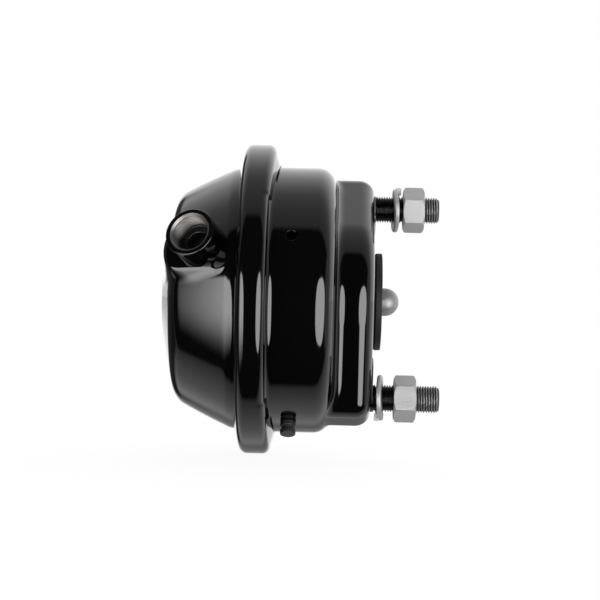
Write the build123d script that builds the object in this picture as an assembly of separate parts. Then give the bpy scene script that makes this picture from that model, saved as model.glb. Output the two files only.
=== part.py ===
from build123d import *
from math import atan, cos, degrees, radians, sin, tan
import os

# Air brake chamber with a diaphragm, for a disc brake. Lengths are in millimetres.
# X runs along the chamber's axis towards the push rod, Z is up, and X = 0 is the mounting face.
# Angles about the axis start at the near side (-Y) and grow upwards, so 90 is the top.

# Sheet metal and flanges
WALL = 3.0
CUP_RADIUS = 79.3
FLANGE_WIDTH = 8.5
FLANGE_RADIUS = CUP_RADIUS + FLANGE_WIDTH
CLAMP_X = -68.7
BEAD_THICKNESS = 6.6
FACE_GAP = 0.1
SOFT_GAP = 0.3

# Pressure housing, the dished half with the air port
END_X = -124.6
END_FLAT_RADIUS = 26.0
END_CONE_ANGLE = 12.4
SIDE_CONE_ANGLE = 26.3
NECK_STEP = 1.3
NECK_RADIUS = CUP_RADIUS - NECK_STEP
SIDE_CONE_RISE = 16.9
SIDE_CONE_RADIUS = NECK_RADIUS - SIDE_CONE_RISE
END_CORNER_RADIUS = 12.0
NECK_BEND_RADIUS = 12.0
FLANGE_BEND_RADIUS = 2.5

# Air port: a threaded bush on a pressed land
PORT_ANGLE = 25.0
PORT_TILT = 17.5
PORT_MOUTH_X = -105.0
PORT_MOUTH_REACH = 8.0
PORT_MOUTH_RADIUS = NECK_RADIUS + PORT_MOUTH_REACH
PORT_BUSH_RADIUS = 14.2
PORT_BUSH_HEIGHT = 14.0
PORT_THREAD_RADIUS = 10.25
PORT_THREAD_DEPTH = 13.0
PORT_CHAMFER = 1.3
PORT_EDGE_CHAMFER = 0.6
PORT_PASSAGE_RADIUS = 6.0
PORT_SPIGOT_RADIUS = 11.2
LAND_RADIUS = 22.0
LAND_FLANK_ANGLE = 20.0
LAND_DEPTH = 34.0
LAND_EDGE_RADIUS = 3.0

# Non-pressure housing, the half that bolts to the brake
SHOULDER_X = -23.6
SHOULDER_RADIUS = 11.0
CUP_FLANGE_BEND = 4.0
CAP_WAIST_RADIUS = 54.1
CAP_LOBE_REACH = 14.9
CAP_LOBE_CORNER = 12.0
CAP_LOBE_HALF_WIDTH = 6.4
CAP_CORNER_RADIUS = 9.0
CAP_FOOT_RADIUS = 6.0
SEAT_PAD_RADIUS = 24.0
SEAT_PAD_HEIGHT = 0.8
SEAT_PAD_EDGE_GAP = 0.7
CENTRE_OPENING_RADIUS = 23.4

# Studs, nuts and spring washers, M16 with a pitch of 1.5
STUD_CIRCLE_RADIUS = 120.65 / 2
STUD_ROLL = 20.5
STUD_RADIUS = 8.0
STUD_REACH = 39.0
STUD_CHAMFER = 1.4
STUD_HEAD_RADIUS = 11.0
STUD_HEAD_THICKNESS = 5.5
STUD_HEAD_CHAMFER = 0.8
STUD_HOLE_GAP = 0.15
NUT_ACROSS_FLATS = 24.0
NUT_HEIGHT = 13.0
NUT_RUNNING_GAP = 0.05
NUT_FACE_INSET = 0.3
NUT_BORE_CHAMFER = 0.8
UPPER_NUT_X = 17.0
LOWER_NUT_X = 12.4
WASHER_OUTER_RADIUS = 13.7
WASHER_INNER_RADIUS = 8.7
WASHER_THICKNESS = 3.5
WASHER_RISE = 2.6
WASHER_SPLIT_ANGLE = 8.0
UPPER_WASHER_X = 9.6
LOWER_WASHER_X = 1.2

# Plate that stiffens the mounting face and carries the studs
STUD_PLATE_THICKNESS = 7.0
STUD_PLATE_GAP = 1.0

# Drain holes and their plugs
DRAIN_X = -48.6
DRAIN_RADIUS = 3.2
DRAIN_OPEN_ANGLE = 27.0
DRAIN_COUNT = 4
PLUG_HEAD_RADIUS = 4.5
PLUG_DISC_THICKNESS = 3.1
PLUG_GROOVE_RADIUS = 3.4
PLUG_GROOVE_WIDTH = 1.6
PLUG_STEM_GAP = 0.1
PLUG_STEM_LENGTH = 6.0
PLUG_TIP_LENGTH = 1.2
PLUG_CHAMFER = 0.6

# One-piece clamp band with a bolt opposite its hinge zone
CLAMP_CROWN_RISE = 4.7
CLAMP_CROWN_RADIUS = FLANGE_RADIUS + CLAMP_CROWN_RISE
CLAMP_WALL = 3.0
CLAMP_SKIRT_ANGLE = 15.0
CLAMP_SHOULDER_RADIUS = 5.0
CLAMP_FIT = 0.2
CLAMP_LIP_GAP = 0.5
CLAMP_HINGE_SPAN = 96.0
CLAMP_HINGE_GRIP = 2.0
CLAMP_HINGE_RADIUS = FLANGE_RADIUS - CLAMP_HINGE_GRIP
CLAMP_END_GAP = 9.0
EAR_THICKNESS = 4.0
EAR_WIDTH = 21.0
EAR_CORNER_RADIUS = 6.0
BOLT_RISE = 10.5
BOLT_CIRCLE_RADIUS = CLAMP_CROWN_RADIUS + BOLT_RISE
EAR_MARGIN = 10.0
EAR_RADIUS = BOLT_CIRCLE_RADIUS + EAR_MARGIN
BOLT_RADIUS = 4.0
BOLT_LENGTH = 34.0
BOLT_HOLE_GAP = 0.2
BOLT_TIP_CHAMFER = 0.7
BOLT_HEAD_FLATS = 13.0
BOLT_HEAD_HEIGHT = 5.3
BOLT_NUT_HEIGHT = 6.8

# Diaphragm
DIAPHRAGM_THICKNESS = 3.0
DIAPHRAGM_HOUSING_GAP = 2.0
DIAPHRAGM_X = -113.5
DIAPHRAGM_CORNER_RADIUS = 8.0
DIAPHRAGM_NECK_GAP = 2.5
BEAD_WIDTH = 7.3
BEAD_INNER_RADIUS = FLANGE_RADIUS - BEAD_WIDTH
BEAD_BEND_RADIUS = 1.3
BEAD_RIM_GAP = 0.5

# Push plate and push rod
PUSH_PLATE_RADIUS = 49.5
PUSH_PLATE_THICKNESS = 3.2
PUSH_PLATE_DISH = 3.0
PUSH_PLATE_BEND = 4.5
PUSH_ROD_RADIUS = 8.3
PUSH_ROD_TIP_X = 15.0
PUSH_ROD_FOOT_RADIUS = 13.5
PUSH_ROD_FOOT_THICKNESS = 3.5
PUSH_ROD_FOOT_CHAMFER = 1.2

# Return spring
SPRING_WIRE_RADIUS = 2.4
SPRING_PLATE_RADIUS = 43.5
SPRING_SEAT_RADIUS = 40.0
SPRING_TURNS = 5.5
SPRING_END_LIFT = 0.4

# Dust boot, its retainer and its clip
BOOT_THICKNESS = 1.8
BOOT_CREST_RADIUS = 28.0
BOOT_VALLEY_RADIUS = 17.0
BOOT_FOLDS = 6
BOOT_FOOT_INNER_RADIUS = 25.5
BOOT_FOOT_OUTER_RADIUS = 33.0
BOOT_FOOT_THICKNESS = 2.6
BOOT_SLEEVE_LENGTH = 9.0
BOOT_FOLD_RADIUS = 2.2
BOOT_LAST_FOLD_GAP = 2.5
RETAINER_THICKNESS = 1.6
RETAINER_OUTER_RADIUS = 45.5
RETAINER_CROWN_BEND = 0.9
RETAINER_FLANGE_BEND = 0.5
CLIP_THICKNESS = 1.2
CLIP_WIDTH = 5.0
CLIP_OFFSET = 1.5

# Rubber seal round the opening in the mounting face
SEAL_DISC_RADIUS = 29.0
SEAL_FRONT_X = 4.4
SEAL_CHAMFER = 1.6
SEAL_NECK_GAP = 0.3
SEAL_INNER_RADIUS = 16.0
SEAL_LIP_RADIUS = 24.8
SEAL_LIP_THICKNESS = 2.2
SEAL_EDGE_CHAMFER = 0.6
SEAL_MOUTH_CHAMFER = 2.0
SEAL_LIP_LEAD = 0.5
SEAL_TAIL_FLARE = 3.0

THROUGH = 1.0
SMALLEST_BEND = 0.5
CAP_FACE_X = -SEAT_PAD_HEIGHT
CAP_INNER_X = CAP_FACE_X - WALL
STUD_PLATE_X = CAP_INNER_X - STUD_PLATE_THICKNESS
CLAMP_SIDE_OFFSET = BEAD_THICKNESS / 2 + WALL


def at_angle(angle, shape):
    """Turn a shape made on the +Y side of the axis to an angle about the axis."""
    return Rot(X=180 - angle) * shape


def parallel(points, distance):
    """Points of the line that runs a distance to the right of a line through points."""
    spans = [Vector(*b) - Vector(*a) for a, b in zip(points, points[1:])]
    normals = [Vector(span.Y, -span.X).normalized() for span in spans]
    moved = [Vector(*points[0]) + normals[0] * distance]
    for point, before, after in zip(points[1:], normals, normals[1:]):
        mitre = (before + after) * (distance / (1 + before.dot(after)))
        moved.append(Vector(*point) + mitre)
    moved.append(Vector(*points[-1]) + normals[-1] * distance)
    return [(point.X, point.Y) for point in moved]


def parallel_radii(points, radii, distance):
    """Corner radii of the line that runs a distance to the right of a rounded line."""
    spans = [Vector(*b) - Vector(*a) for a, b in zip(points, points[1:])]
    turns = [a.X * b.Y - a.Y * b.X for a, b in zip(spans, spans[1:])]
    changed = [r + distance if turn > 0 else r - distance for r, turn in zip(radii, turns)]
    return [max(radius, SMALLEST_BEND) for radius in changed]


def sheet(points, radii, thickness):
    """Face of even thickness on the right of a line with rounded corners."""
    inner = parallel(points, thickness)
    near_line = FilletPolyline(*points, radius=radii)
    far_line = FilletPolyline(*inner, radius=parallel_radii(points, radii, thickness))
    ends = [Line(points[0], inner[0]), Line(points[-1], inner[-1])]
    return make_face(near_line.edges() + far_line.edges() + ends)


def turned(face):
    """Solid of revolution about the chamber's axis."""
    return revolve(face, axis=Axis.X, revolution_arc=360)


def turned_block(points):
    """Solid of revolution of a closed polygon given as (x, radius)."""
    return turned(make_face(Polyline(*points, close=True)))


def tube(x_start, x_end, outer, inner=0.0):
    """Straight tube, or rod, along the chamber's axis."""
    return turned_block([(x_start, inner), (x_end, inner), (x_end, outer), (x_start, outer)])


def stud_places():
    """Centres of the upper and lower stud in the mounting face, as (y, z)."""
    return [face_place(STUD_CIRCLE_RADIUS, 0, side) for side in (1, -1)]


def face_place(out, across, side):
    """Place (y, z) out along the line through the studs, towards one of them, and across it."""
    roll = radians(STUD_ROLL)
    return side * (out * sin(roll) - across * cos(roll)), side * (out * cos(roll) + across * sin(roll))


def cap_outline(inset):
    """Outline of the mounting face: a round waist drawn tangent to a wide lobe at each stud."""
    corner = Circle(CAP_LOBE_CORNER - inset).edge()
    out = STUD_CIRCLE_RADIUS + CAP_LOBE_REACH - CAP_LOBE_CORNER
    rings = [Circle(CAP_WAIST_RADIUS - inset).edge()]
    for side in (1, -1):
        for across in (-CAP_LOBE_HALF_WIDTH, CAP_LOBE_HALF_WIDTH):
            rings.append(Pos(*face_place(out, across, side)) * corner)
    return make_hull(rings)


def prism(outline, x_start, x_end):
    """Extrude an outline drawn in the YZ plane from one X to another."""
    return extrude(Plane.YZ.offset(x_start) * outline, amount=x_end - x_start, dir=(1, 0, 0))


def pressure_profile():
    """Outer line of the pressure housing, from the axis to the rim of its flange."""
    slope = tan(radians(END_CONE_ANGLE))
    corner_x = END_X + (SIDE_CONE_RADIUS - END_FLAT_RADIUS) * slope
    neck_x = corner_x + (NECK_RADIUS - SIDE_CONE_RADIUS) / tan(radians(SIDE_CONE_ANGLE))
    flange_x = CLAMP_X - CLAMP_SIDE_OFFSET
    points = [
        (END_X, 0),
        (END_X, END_FLAT_RADIUS),
        (corner_x, SIDE_CONE_RADIUS),
        (neck_x, NECK_RADIUS),
        (flange_x, NECK_RADIUS),
        (flange_x, FLANGE_RADIUS),
    ]
    radii = [END_CORNER_RADIUS, END_CORNER_RADIUS, NECK_BEND_RADIUS, FLANGE_BEND_RADIUS]
    return points, radii


def port_plane(depth):
    """Plane square to the port's axis, a depth below the port's mouth, facing outwards."""
    flat = Plane(
        origin=(PORT_MOUTH_X, PORT_MOUTH_RADIUS, 0),
        x_dir=(0, 0, 1),
        z_dir=(-sin(radians(PORT_TILT)), cos(radians(PORT_TILT)), 0),
    ).offset(-depth)
    return Plane(at_angle(PORT_ANGLE, Location(flat)))


def port_cone(top_depth, top_radius, depth):
    """Cone frustum on the port's axis that widens towards the chamber."""
    bottom_radius = top_radius + depth * tan(radians(LAND_FLANK_ANGLE))
    cone = Cone(bottom_radius, top_radius, depth, align=(Align.CENTER, Align.CENTER, Align.MAX))
    return port_plane(top_depth) * cone


def port_cylinder(top_depth, radius, depth):
    """Cylinder on the port's axis, from a depth below the mouth down."""
    rod = Cylinder(radius, depth, align=(Align.CENTER, Align.CENTER, Align.MAX))
    return port_plane(top_depth) * rod


def make_pressure_housing():
    """Dished pressing with a flange, a raised land for the port and the port's hole."""
    points, radii = pressure_profile()
    inner = parallel(points, WALL)
    inner_radii = parallel_radii(points, radii, WALL)
    shell = turned(sheet(points, radii, WALL))
    cavity_line = FilletPolyline(*inner[:-1], radius=inner_radii[:-1])
    mouth_x = inner[-1][0] + LAND_DEPTH
    mouth = Polyline(inner[-2], (mouth_x, inner[-2][1]), (mouth_x, 0), inner[0])
    cavity = turned(make_face(cavity_line.edges() + mouth.edges()))
    flank = tan(radians(LAND_FLANK_ANGLE))
    inner_land_radius = LAND_RADIUS - WALL / cos(radians(LAND_FLANK_ANGLE)) + WALL * flank
    land = port_cone(PORT_BUSH_HEIGHT, LAND_RADIUS, LAND_DEPTH)
    top_edge = land.edges().filter_by(GeomType.CIRCLE).sort_by(SortBy.RADIUS)[0]
    land = fillet(top_edge, LAND_EDGE_RADIUS)
    hollow = port_cone(PORT_BUSH_HEIGHT + WALL, inner_land_radius, LAND_DEPTH)
    hole = port_cylinder(PORT_BUSH_HEIGHT - THROUGH, PORT_SPIGOT_RADIUS + FACE_GAP, 3 * WALL)
    return shell + (land - cavity) - hollow - hole


def make_port_bush():
    """Threaded bush with a lead-in chamfer, a passage and a spigot through the wall."""
    body = port_cylinder(0, PORT_BUSH_RADIUS, PORT_BUSH_HEIGHT)
    body = chamfer(body.edges().filter_by(GeomType.CIRCLE), PORT_EDGE_CHAMFER)
    spigot = port_cylinder(PORT_BUSH_HEIGHT, PORT_SPIGOT_RADIUS, WALL)
    bore = port_cylinder(0, PORT_THREAD_RADIUS, PORT_THREAD_DEPTH)
    passage = port_cylinder(0, PORT_PASSAGE_RADIUS, PORT_BUSH_HEIGHT + 2 * WALL)
    mouth_radius = PORT_THREAD_RADIUS + PORT_CHAMFER
    lead = port_plane(0) * Cone(
        mouth_radius - PORT_CHAMFER, mouth_radius, PORT_CHAMFER,
        align=(Align.CENTER, Align.CENTER, Align.MAX),
    )
    return body + spigot - bore - passage - lead


def cup_profile():
    """Outer line of the cup, from the rim of its flange to the axis."""
    flange_x = CLAMP_X + CLAMP_SIDE_OFFSET
    points = [
        (flange_x, FLANGE_RADIUS),
        (flange_x, CUP_RADIUS),
        (SHOULDER_X, CUP_RADIUS),
        (SHOULDER_X, 0),
    ]
    return points, [CUP_FLANGE_BEND, SHOULDER_RADIUS]


def block_behind(points, radii, back_x):
    """Solid of revolution between a rounded line and a flat back face."""
    line = FilletPolyline(*points, radius=radii)
    back = Polyline(points[-1], (back_x, 0), (back_x, points[0][1]), points[0])
    return turned(make_face(line.edges() + back.edges()))


def make_non_pressure_housing():
    """Cup with a flange, a raised mounting cap, stud holes, drain holes and an opening."""
    points, radii = cup_profile()
    inner = parallel(points, WALL)
    cup = block_behind(points, radii, inner[0][0])
    cavity = block_behind(inner, parallel_radii(points, radii, WALL), inner[0][0] - THROUGH)
    inner_x = SHOULDER_X - SHOULDER_RADIUS
    cap = prism(cap_outline(0), inner_x, CAP_FACE_X)
    cap = fillet(cap.edges().group_by(Axis.X)[-1], CAP_CORNER_RADIUS)
    hollow = prism(cap_outline(WALL), inner_x, CAP_INNER_X)
    hollow = fillet(hollow.edges().group_by(Axis.X)[-1], CAP_CORNER_RADIUS - WALL)
    pads = [Pos(y, z) * Circle(SEAT_PAD_RADIUS) for y, z in stud_places()]
    pads = [pad & cap_outline(CAP_CORNER_RADIUS + SEAT_PAD_EDGE_GAP) for pad in pads]
    housing = soften_foot(cup + cap)
    for pad in pads:
        housing += prism(pad, CAP_FACE_X, 0)
    housing -= cavity
    housing -= hollow & tube(inner_x, 0, CUP_RADIUS - WALL)
    for y, z in stud_places():
        housing -= stud_hole(y, z, CAP_INNER_X)
    housing -= tube(CAP_INNER_X - THROUGH, THROUGH, CENTRE_OPENING_RADIUS)
    for index in range(DRAIN_COUNT):
        housing -= at_angle(drain_angle(index), drain_cutter())
    return housing


def soften_foot(housing):
    """Round the inner corner where the raised cap rises out of the cup's end."""
    foot = [edge for edge in housing.edges() if on_foot(edge)]
    return fillet(foot, CAP_FOOT_RADIUS)


def on_foot(edge):
    """Whether an edge is part of the line along which the cap's side meets the cup's end."""
    middle = edge @ 0.5
    seam_radius = CUP_RADIUS - SHOULDER_RADIUS
    on_seam = abs(Vector(0, middle.Y, middle.Z).length - seam_radius) < FACE_GAP
    on_end = SHOULDER_X - SHOULDER_RADIUS < middle.X < SHOULDER_X + FACE_GAP
    return on_end and not on_seam


def stud_hole(y, z, back_x):
    """Cutter for a stud's hole, from a back face out through the mounting face."""
    return prism(Pos(y, z) * Circle(STUD_RADIUS + STUD_HOLE_GAP), back_x - THROUGH, THROUGH)


def drain_angle(index):
    """Angle of a drain hole about the axis; the first one is the open one."""
    return DRAIN_OPEN_ANGLE - index * 360 / DRAIN_COUNT


def drain_cutter():
    """Radial cylinder that cuts a drain hole on the +Y side."""
    plane = Plane(origin=(DRAIN_X, CUP_RADIUS - 2 * WALL, 0), x_dir=(1, 0, 0), z_dir=(0, 1, 0))
    return extrude(plane * Circle(DRAIN_RADIUS), amount=4 * WALL)


def make_drain_plug(index):
    """Rubber plug of two discs with a groove between, on a stem that fills a drain hole."""
    base = CUP_RADIUS + FACE_GAP
    stem = DRAIN_RADIUS - PLUG_STEM_GAP
    groove_low = base + PLUG_DISC_THICKNESS
    groove_high = groove_low + PLUG_GROOVE_WIDTH
    top = groove_high + PLUG_DISC_THICKNESS
    tip = base - PLUG_STEM_LENGTH
    half = [
        (0, tip), (stem - PLUG_CHAMFER, tip), (stem, tip + PLUG_TIP_LENGTH), (stem, base),
        (PLUG_HEAD_RADIUS, base), (PLUG_HEAD_RADIUS, groove_low),
        (PLUG_GROOVE_RADIUS, groove_low), (PLUG_GROOVE_RADIUS, groove_high),
        (PLUG_HEAD_RADIUS, groove_high), (PLUG_HEAD_RADIUS, top - PLUG_CHAMFER),
        (PLUG_HEAD_RADIUS - PLUG_CHAMFER, top), (0, top),
    ]
    face = make_face(Polyline(*[(DRAIN_X + r, y) for r, y in half], close=True))
    plug = revolve(face, axis=Axis((DRAIN_X, 0, 0), (0, 1, 0)), revolution_arc=360)
    return at_angle(drain_angle(index), plug)


def make_stud_plate():
    """Thick plate behind the mounting face that carries the studs."""
    inner_corner = CAP_CORNER_RADIUS - WALL
    plate = prism(cap_outline(WALL + STUD_PLATE_GAP), STUD_PLATE_X, CAP_INNER_X)
    plate = chamfer(plate.edges().group_by(Axis.X)[-1], inner_corner - STUD_PLATE_GAP)
    for y, z in stud_places():
        plate -= stud_hole(y, z, STUD_PLATE_X)
    return plate - tube(STUD_PLATE_X - THROUGH, THROUGH, CENTRE_OPENING_RADIUS)


def make_stud(index):
    """Mounting stud with a round head behind the stud plate and a chamfered tip."""
    shank = Circle(STUD_RADIUS)
    stud = prism(shank, STUD_PLATE_X, STUD_REACH)
    stud = chamfer(stud.edges().group_by(Axis.X)[-1], STUD_CHAMFER)
    head = prism(Circle(STUD_HEAD_RADIUS), STUD_PLATE_X - STUD_HEAD_THICKNESS, STUD_PLATE_X)
    head = chamfer(head.edges().group_by(Axis.X)[0], STUD_HEAD_CHAMFER)
    y, z = stud_places()[index]
    return Pos(0, y, z) * (stud + head)


def hexagon_nut(across_flats, height, bore_radius):
    """Hexagon nut along Z from its seat, chamfered on both faces, with its corners on X."""
    across_corners = across_flats / cos(radians(30))
    body = extrude(RegularPolygon(across_corners / 2, 6), amount=height)
    drop = (across_corners - across_flats) / 2 * tan(radians(30))
    face = across_flats / 2 - NUT_FACE_INSET
    rim = across_corners / 2 + NUT_FACE_INSET
    fall = drop + NUT_FACE_INSET
    outline = [(0, 0), (face, 0), (rim, fall), (rim, height - fall), (face, height), (0, height)]
    profile = Plane.XZ * make_face(Polyline(*outline, close=True))
    body = body & revolve(profile, axis=Axis.Z, revolution_arc=360)
    if bore_radius > 0:
        body -= Cylinder(bore_radius, 3 * height)
        lead = Cone(
            bore_radius + NUT_BORE_CHAMFER, bore_radius, NUT_BORE_CHAMFER,
            align=(Align.CENTER, Align.CENTER, Align.MIN),
        )
        body -= lead
        body -= Pos(0, 0, height) * Rot(X=180) * lead
    return body


def make_nut(index, seat_x):
    """Nut on a mounting stud, with its corners up and down."""
    nut = hexagon_nut(NUT_ACROSS_FLATS, NUT_HEIGHT, STUD_RADIUS + NUT_RUNNING_GAP)
    y, z = stud_places()[index]
    return Pos(seat_x, y, z) * Rot(Y=90) * nut


def make_spring_washer(index, start_x, turn):
    """Split washer of square-cut section that climbs once round the stud."""
    width = WASHER_OUTER_RADIUS - WASHER_INNER_RADIUS
    middle = (WASHER_OUTER_RADIUS + WASHER_INNER_RADIUS) / 2
    share = (360 - WASHER_SPLIT_ANGLE) / 360
    path = Helix(pitch=WASHER_RISE / share, height=WASHER_RISE, radius=middle)
    start = Plane(origin=path @ 0, x_dir=(1, 0, 0), z_dir=(0, 1, 0))
    washer = sweep(start * Rectangle(width, WASHER_THICKNESS), path, is_frenet=True)
    y, z = stud_places()[index]
    return Pos(start_x + WASHER_THICKNESS / 2, y, z) * Rot(X=turn) * Rot(Y=90) * washer


def clamp_profile():
    """Outer line of the clamp band's section, from the left lip over the crown to the right."""
    slope = tan(radians(CLAMP_SKIRT_ANGLE))
    skirt_wall = CLAMP_WALL / cos(radians(CLAMP_SKIRT_ANGLE))
    drop = CLAMP_CROWN_RADIUS - FLANGE_RADIUS
    crown_half = CLAMP_SIDE_OFFSET + CLAMP_FIT + skirt_wall - drop * slope
    lip_rise = CLAMP_LIP_GAP + CLAMP_WALL * sin(radians(CLAMP_SKIRT_ANGLE))
    left_lip = NECK_RADIUS + lip_rise
    right_lip = CUP_RADIUS + lip_rise
    return [
        (CLAMP_X - crown_half - (CLAMP_CROWN_RADIUS - left_lip) * slope, left_lip),
        (CLAMP_X - crown_half, CLAMP_CROWN_RADIUS),
        (CLAMP_X + crown_half, CLAMP_CROWN_RADIUS),
        (CLAMP_X + crown_half + (CLAMP_CROWN_RADIUS - right_lip) * slope, right_lip),
    ]


def bolt_plane(z):
    """Plane square to the clamp bolt's axis at a height, with its origin on that axis."""
    return Plane(origin=(CLAMP_X, BOLT_CIRCLE_RADIUS, z), x_dir=(1, 0, 0), z_dir=(0, 0, 1))


def make_clamp_band():
    """V-section band, open at its bolt, with short skirts in its hinge zone."""
    points = clamp_profile()
    radii = [CLAMP_SHOULDER_RADIUS] * 2
    band = turned(sheet(points, radii, CLAMP_WALL))
    half_width = points[-1][0] - CLAMP_X + CLAMP_WALL
    trim = Pos(CLAMP_X, (NECK_RADIUS + CLAMP_HINGE_RADIUS) / 2 - WALL) * Rectangle(
        2 * half_width, CLAMP_HINGE_RADIUS - NECK_RADIUS + 2 * WALL
    )
    trim = revolve(trim, axis=Axis.X, revolution_arc=CLAMP_HINGE_SPAN)
    band -= at_angle(CLAMP_HINGE_SPAN / 2, trim)
    ear_base = CLAMP_CROWN_RADIUS - CLAMP_WALL
    ear_height = EAR_RADIUS - ear_base
    for side in (-1, 1):
        middle_z = side * (CLAMP_END_GAP + EAR_THICKNESS) / 2
        ear = Pos(CLAMP_X, ear_base + ear_height / 2, middle_z) * Box(
            EAR_WIDTH, ear_height, EAR_THICKNESS
        )
        top_corners = ear.edges().filter_by(Axis.Z).group_by(Axis.Y)[-1]
        band += fillet(top_corners, EAR_CORNER_RADIUS)
    gap_start = NECK_RADIUS - WALL
    gap_reach = EAR_RADIUS + WALL - gap_start
    gap = Box(2 * half_width + EAR_WIDTH, gap_reach, CLAMP_END_GAP)
    band -= Pos(CLAMP_X, gap_start + gap_reach / 2, 0) * gap
    hole = Cylinder(BOLT_RADIUS + BOLT_HOLE_GAP, 4 * CLAMP_END_GAP)
    return band - bolt_plane(0) * hole


def make_clamp_bolt():
    """Hexagon bolt that pulls the band's two ears together."""
    head_seat = -(CLAMP_END_GAP / 2 + EAR_THICKNESS) - FACE_GAP
    shank = extrude(bolt_plane(head_seat) * Circle(BOLT_RADIUS), amount=BOLT_LENGTH)
    shank = chamfer(shank.edges().group_by(Axis.Z)[-1], BOLT_TIP_CHAMFER)
    head = bolt_plane(head_seat - BOLT_HEAD_HEIGHT) * hexagon_nut(
        BOLT_HEAD_FLATS, BOLT_HEAD_HEIGHT, 0
    )
    return shank + head


def make_clamp_nut():
    """Nut on the clamp bolt."""
    seat = CLAMP_END_GAP / 2 + EAR_THICKNESS + FACE_GAP
    nut = hexagon_nut(BOLT_HEAD_FLATS, BOLT_NUT_HEIGHT, BOLT_RADIUS + BOLT_HOLE_GAP / 2)
    return bolt_plane(seat) * nut


def diaphragm_profile():
    """Pressure-side line of the diaphragm at rest, from the axis to its bead."""
    corner = pressure_profile()[0][2]
    slope = tan(radians(SIDE_CONE_ANGLE))
    offset = (WALL + DIAPHRAGM_HOUSING_GAP) / cos(radians(SIDE_CONE_ANGLE))
    start_radius = corner[1] - offset + (DIAPHRAGM_X - corner[0]) * slope
    neck = NECK_RADIUS - WALL - DIAPHRAGM_NECK_GAP
    neck_x = DIAPHRAGM_X + (neck - start_radius) / slope
    bead_x = CLAMP_X - BEAD_THICKNESS / 2 + FACE_GAP / 2
    return [
        (DIAPHRAGM_X, 0),
        (DIAPHRAGM_X, start_radius),
        (neck_x, neck),
        (bead_x, neck),
        (bead_x, FLANGE_RADIUS - BEAD_RIM_GAP),
    ]


def make_diaphragm():
    """Cup-shaped rubber diaphragm with the thick bead that the flanges pinch."""
    points = diaphragm_profile()
    radii = [DIAPHRAGM_CORNER_RADIUS, DIAPHRAGM_CORNER_RADIUS, BEAD_BEND_RADIUS]
    cup = turned(sheet(points, radii, DIAPHRAGM_THICKNESS))
    bead_start = points[-1][0]
    bead = tube(
        bead_start, bead_start + BEAD_THICKNESS - FACE_GAP,
        FLANGE_RADIUS - BEAD_RIM_GAP, BEAD_INNER_RADIUS,
    )
    return cup + bead


PUSH_PLATE_X = DIAPHRAGM_X + DIAPHRAGM_THICKNESS + SOFT_GAP


def make_push_plate():
    """Pressed plate that the diaphragm pushes on, with a raised hub and a turned rim."""
    hub_x = PUSH_PLATE_X
    rim_x = PUSH_PLATE_X + PUSH_PLATE_THICKNESS + PUSH_PLATE_DISH
    points = [(hub_x, 0), (hub_x, PUSH_PLATE_RADIUS), (rim_x, PUSH_PLATE_RADIUS)]
    return turned(sheet(points, [PUSH_PLATE_BEND], PUSH_PLATE_THICKNESS))


def make_push_rod():
    """Push rod with a foot on the push plate and a ball-shaped end."""
    start = PUSH_PLATE_X + PUSH_PLATE_THICKNESS
    ball_x = PUSH_ROD_TIP_X - PUSH_ROD_RADIUS
    foot = tube(start, start + PUSH_ROD_FOOT_THICKNESS, PUSH_ROD_FOOT_RADIUS)
    foot = chamfer(foot.edges().group_by(Axis.X)[-1], PUSH_ROD_FOOT_CHAMFER)
    return foot + tube(start, ball_x, PUSH_ROD_RADIUS) + Pos(ball_x, 0, 0) * Sphere(PUSH_ROD_RADIUS)


RETAINER_SEAT_X = STUD_PLATE_X - FACE_GAP - RETAINER_THICKNESS


def make_return_spring():
    """Conical coil spring with a closed coil at each end."""
    first = PUSH_PLATE_X + PUSH_PLATE_THICKNESS + SOFT_GAP + SPRING_WIRE_RADIUS
    last = RETAINER_SEAT_X - SOFT_GAP - SPRING_WIRE_RADIUS
    length = last - first - 2 * SPRING_END_LIFT
    taper = degrees(atan((SPRING_SEAT_RADIUS - SPRING_PLATE_RADIUS) / length))
    path = Helix(
        pitch=length / SPRING_TURNS, height=length, radius=SPRING_PLATE_RADIUS, cone_angle=taper
    )
    start = Plane(origin=path @ 0, z_dir=path % 0)
    coil = sweep(start * Circle(SPRING_WIRE_RADIUS), path, is_frenet=True)
    spring = Pos(first + SPRING_END_LIFT, 0, 0) * Rot(Y=90) * coil
    spring += Pos(first, 0, 0) * Rot(Y=90) * Torus(SPRING_PLATE_RADIUS, SPRING_WIRE_RADIUS)
    spring += Pos(last, 0, 0) * Rot(Y=90) * Torus(SPRING_SEAT_RADIUS, SPRING_WIRE_RADIUS)
    return spring


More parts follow.
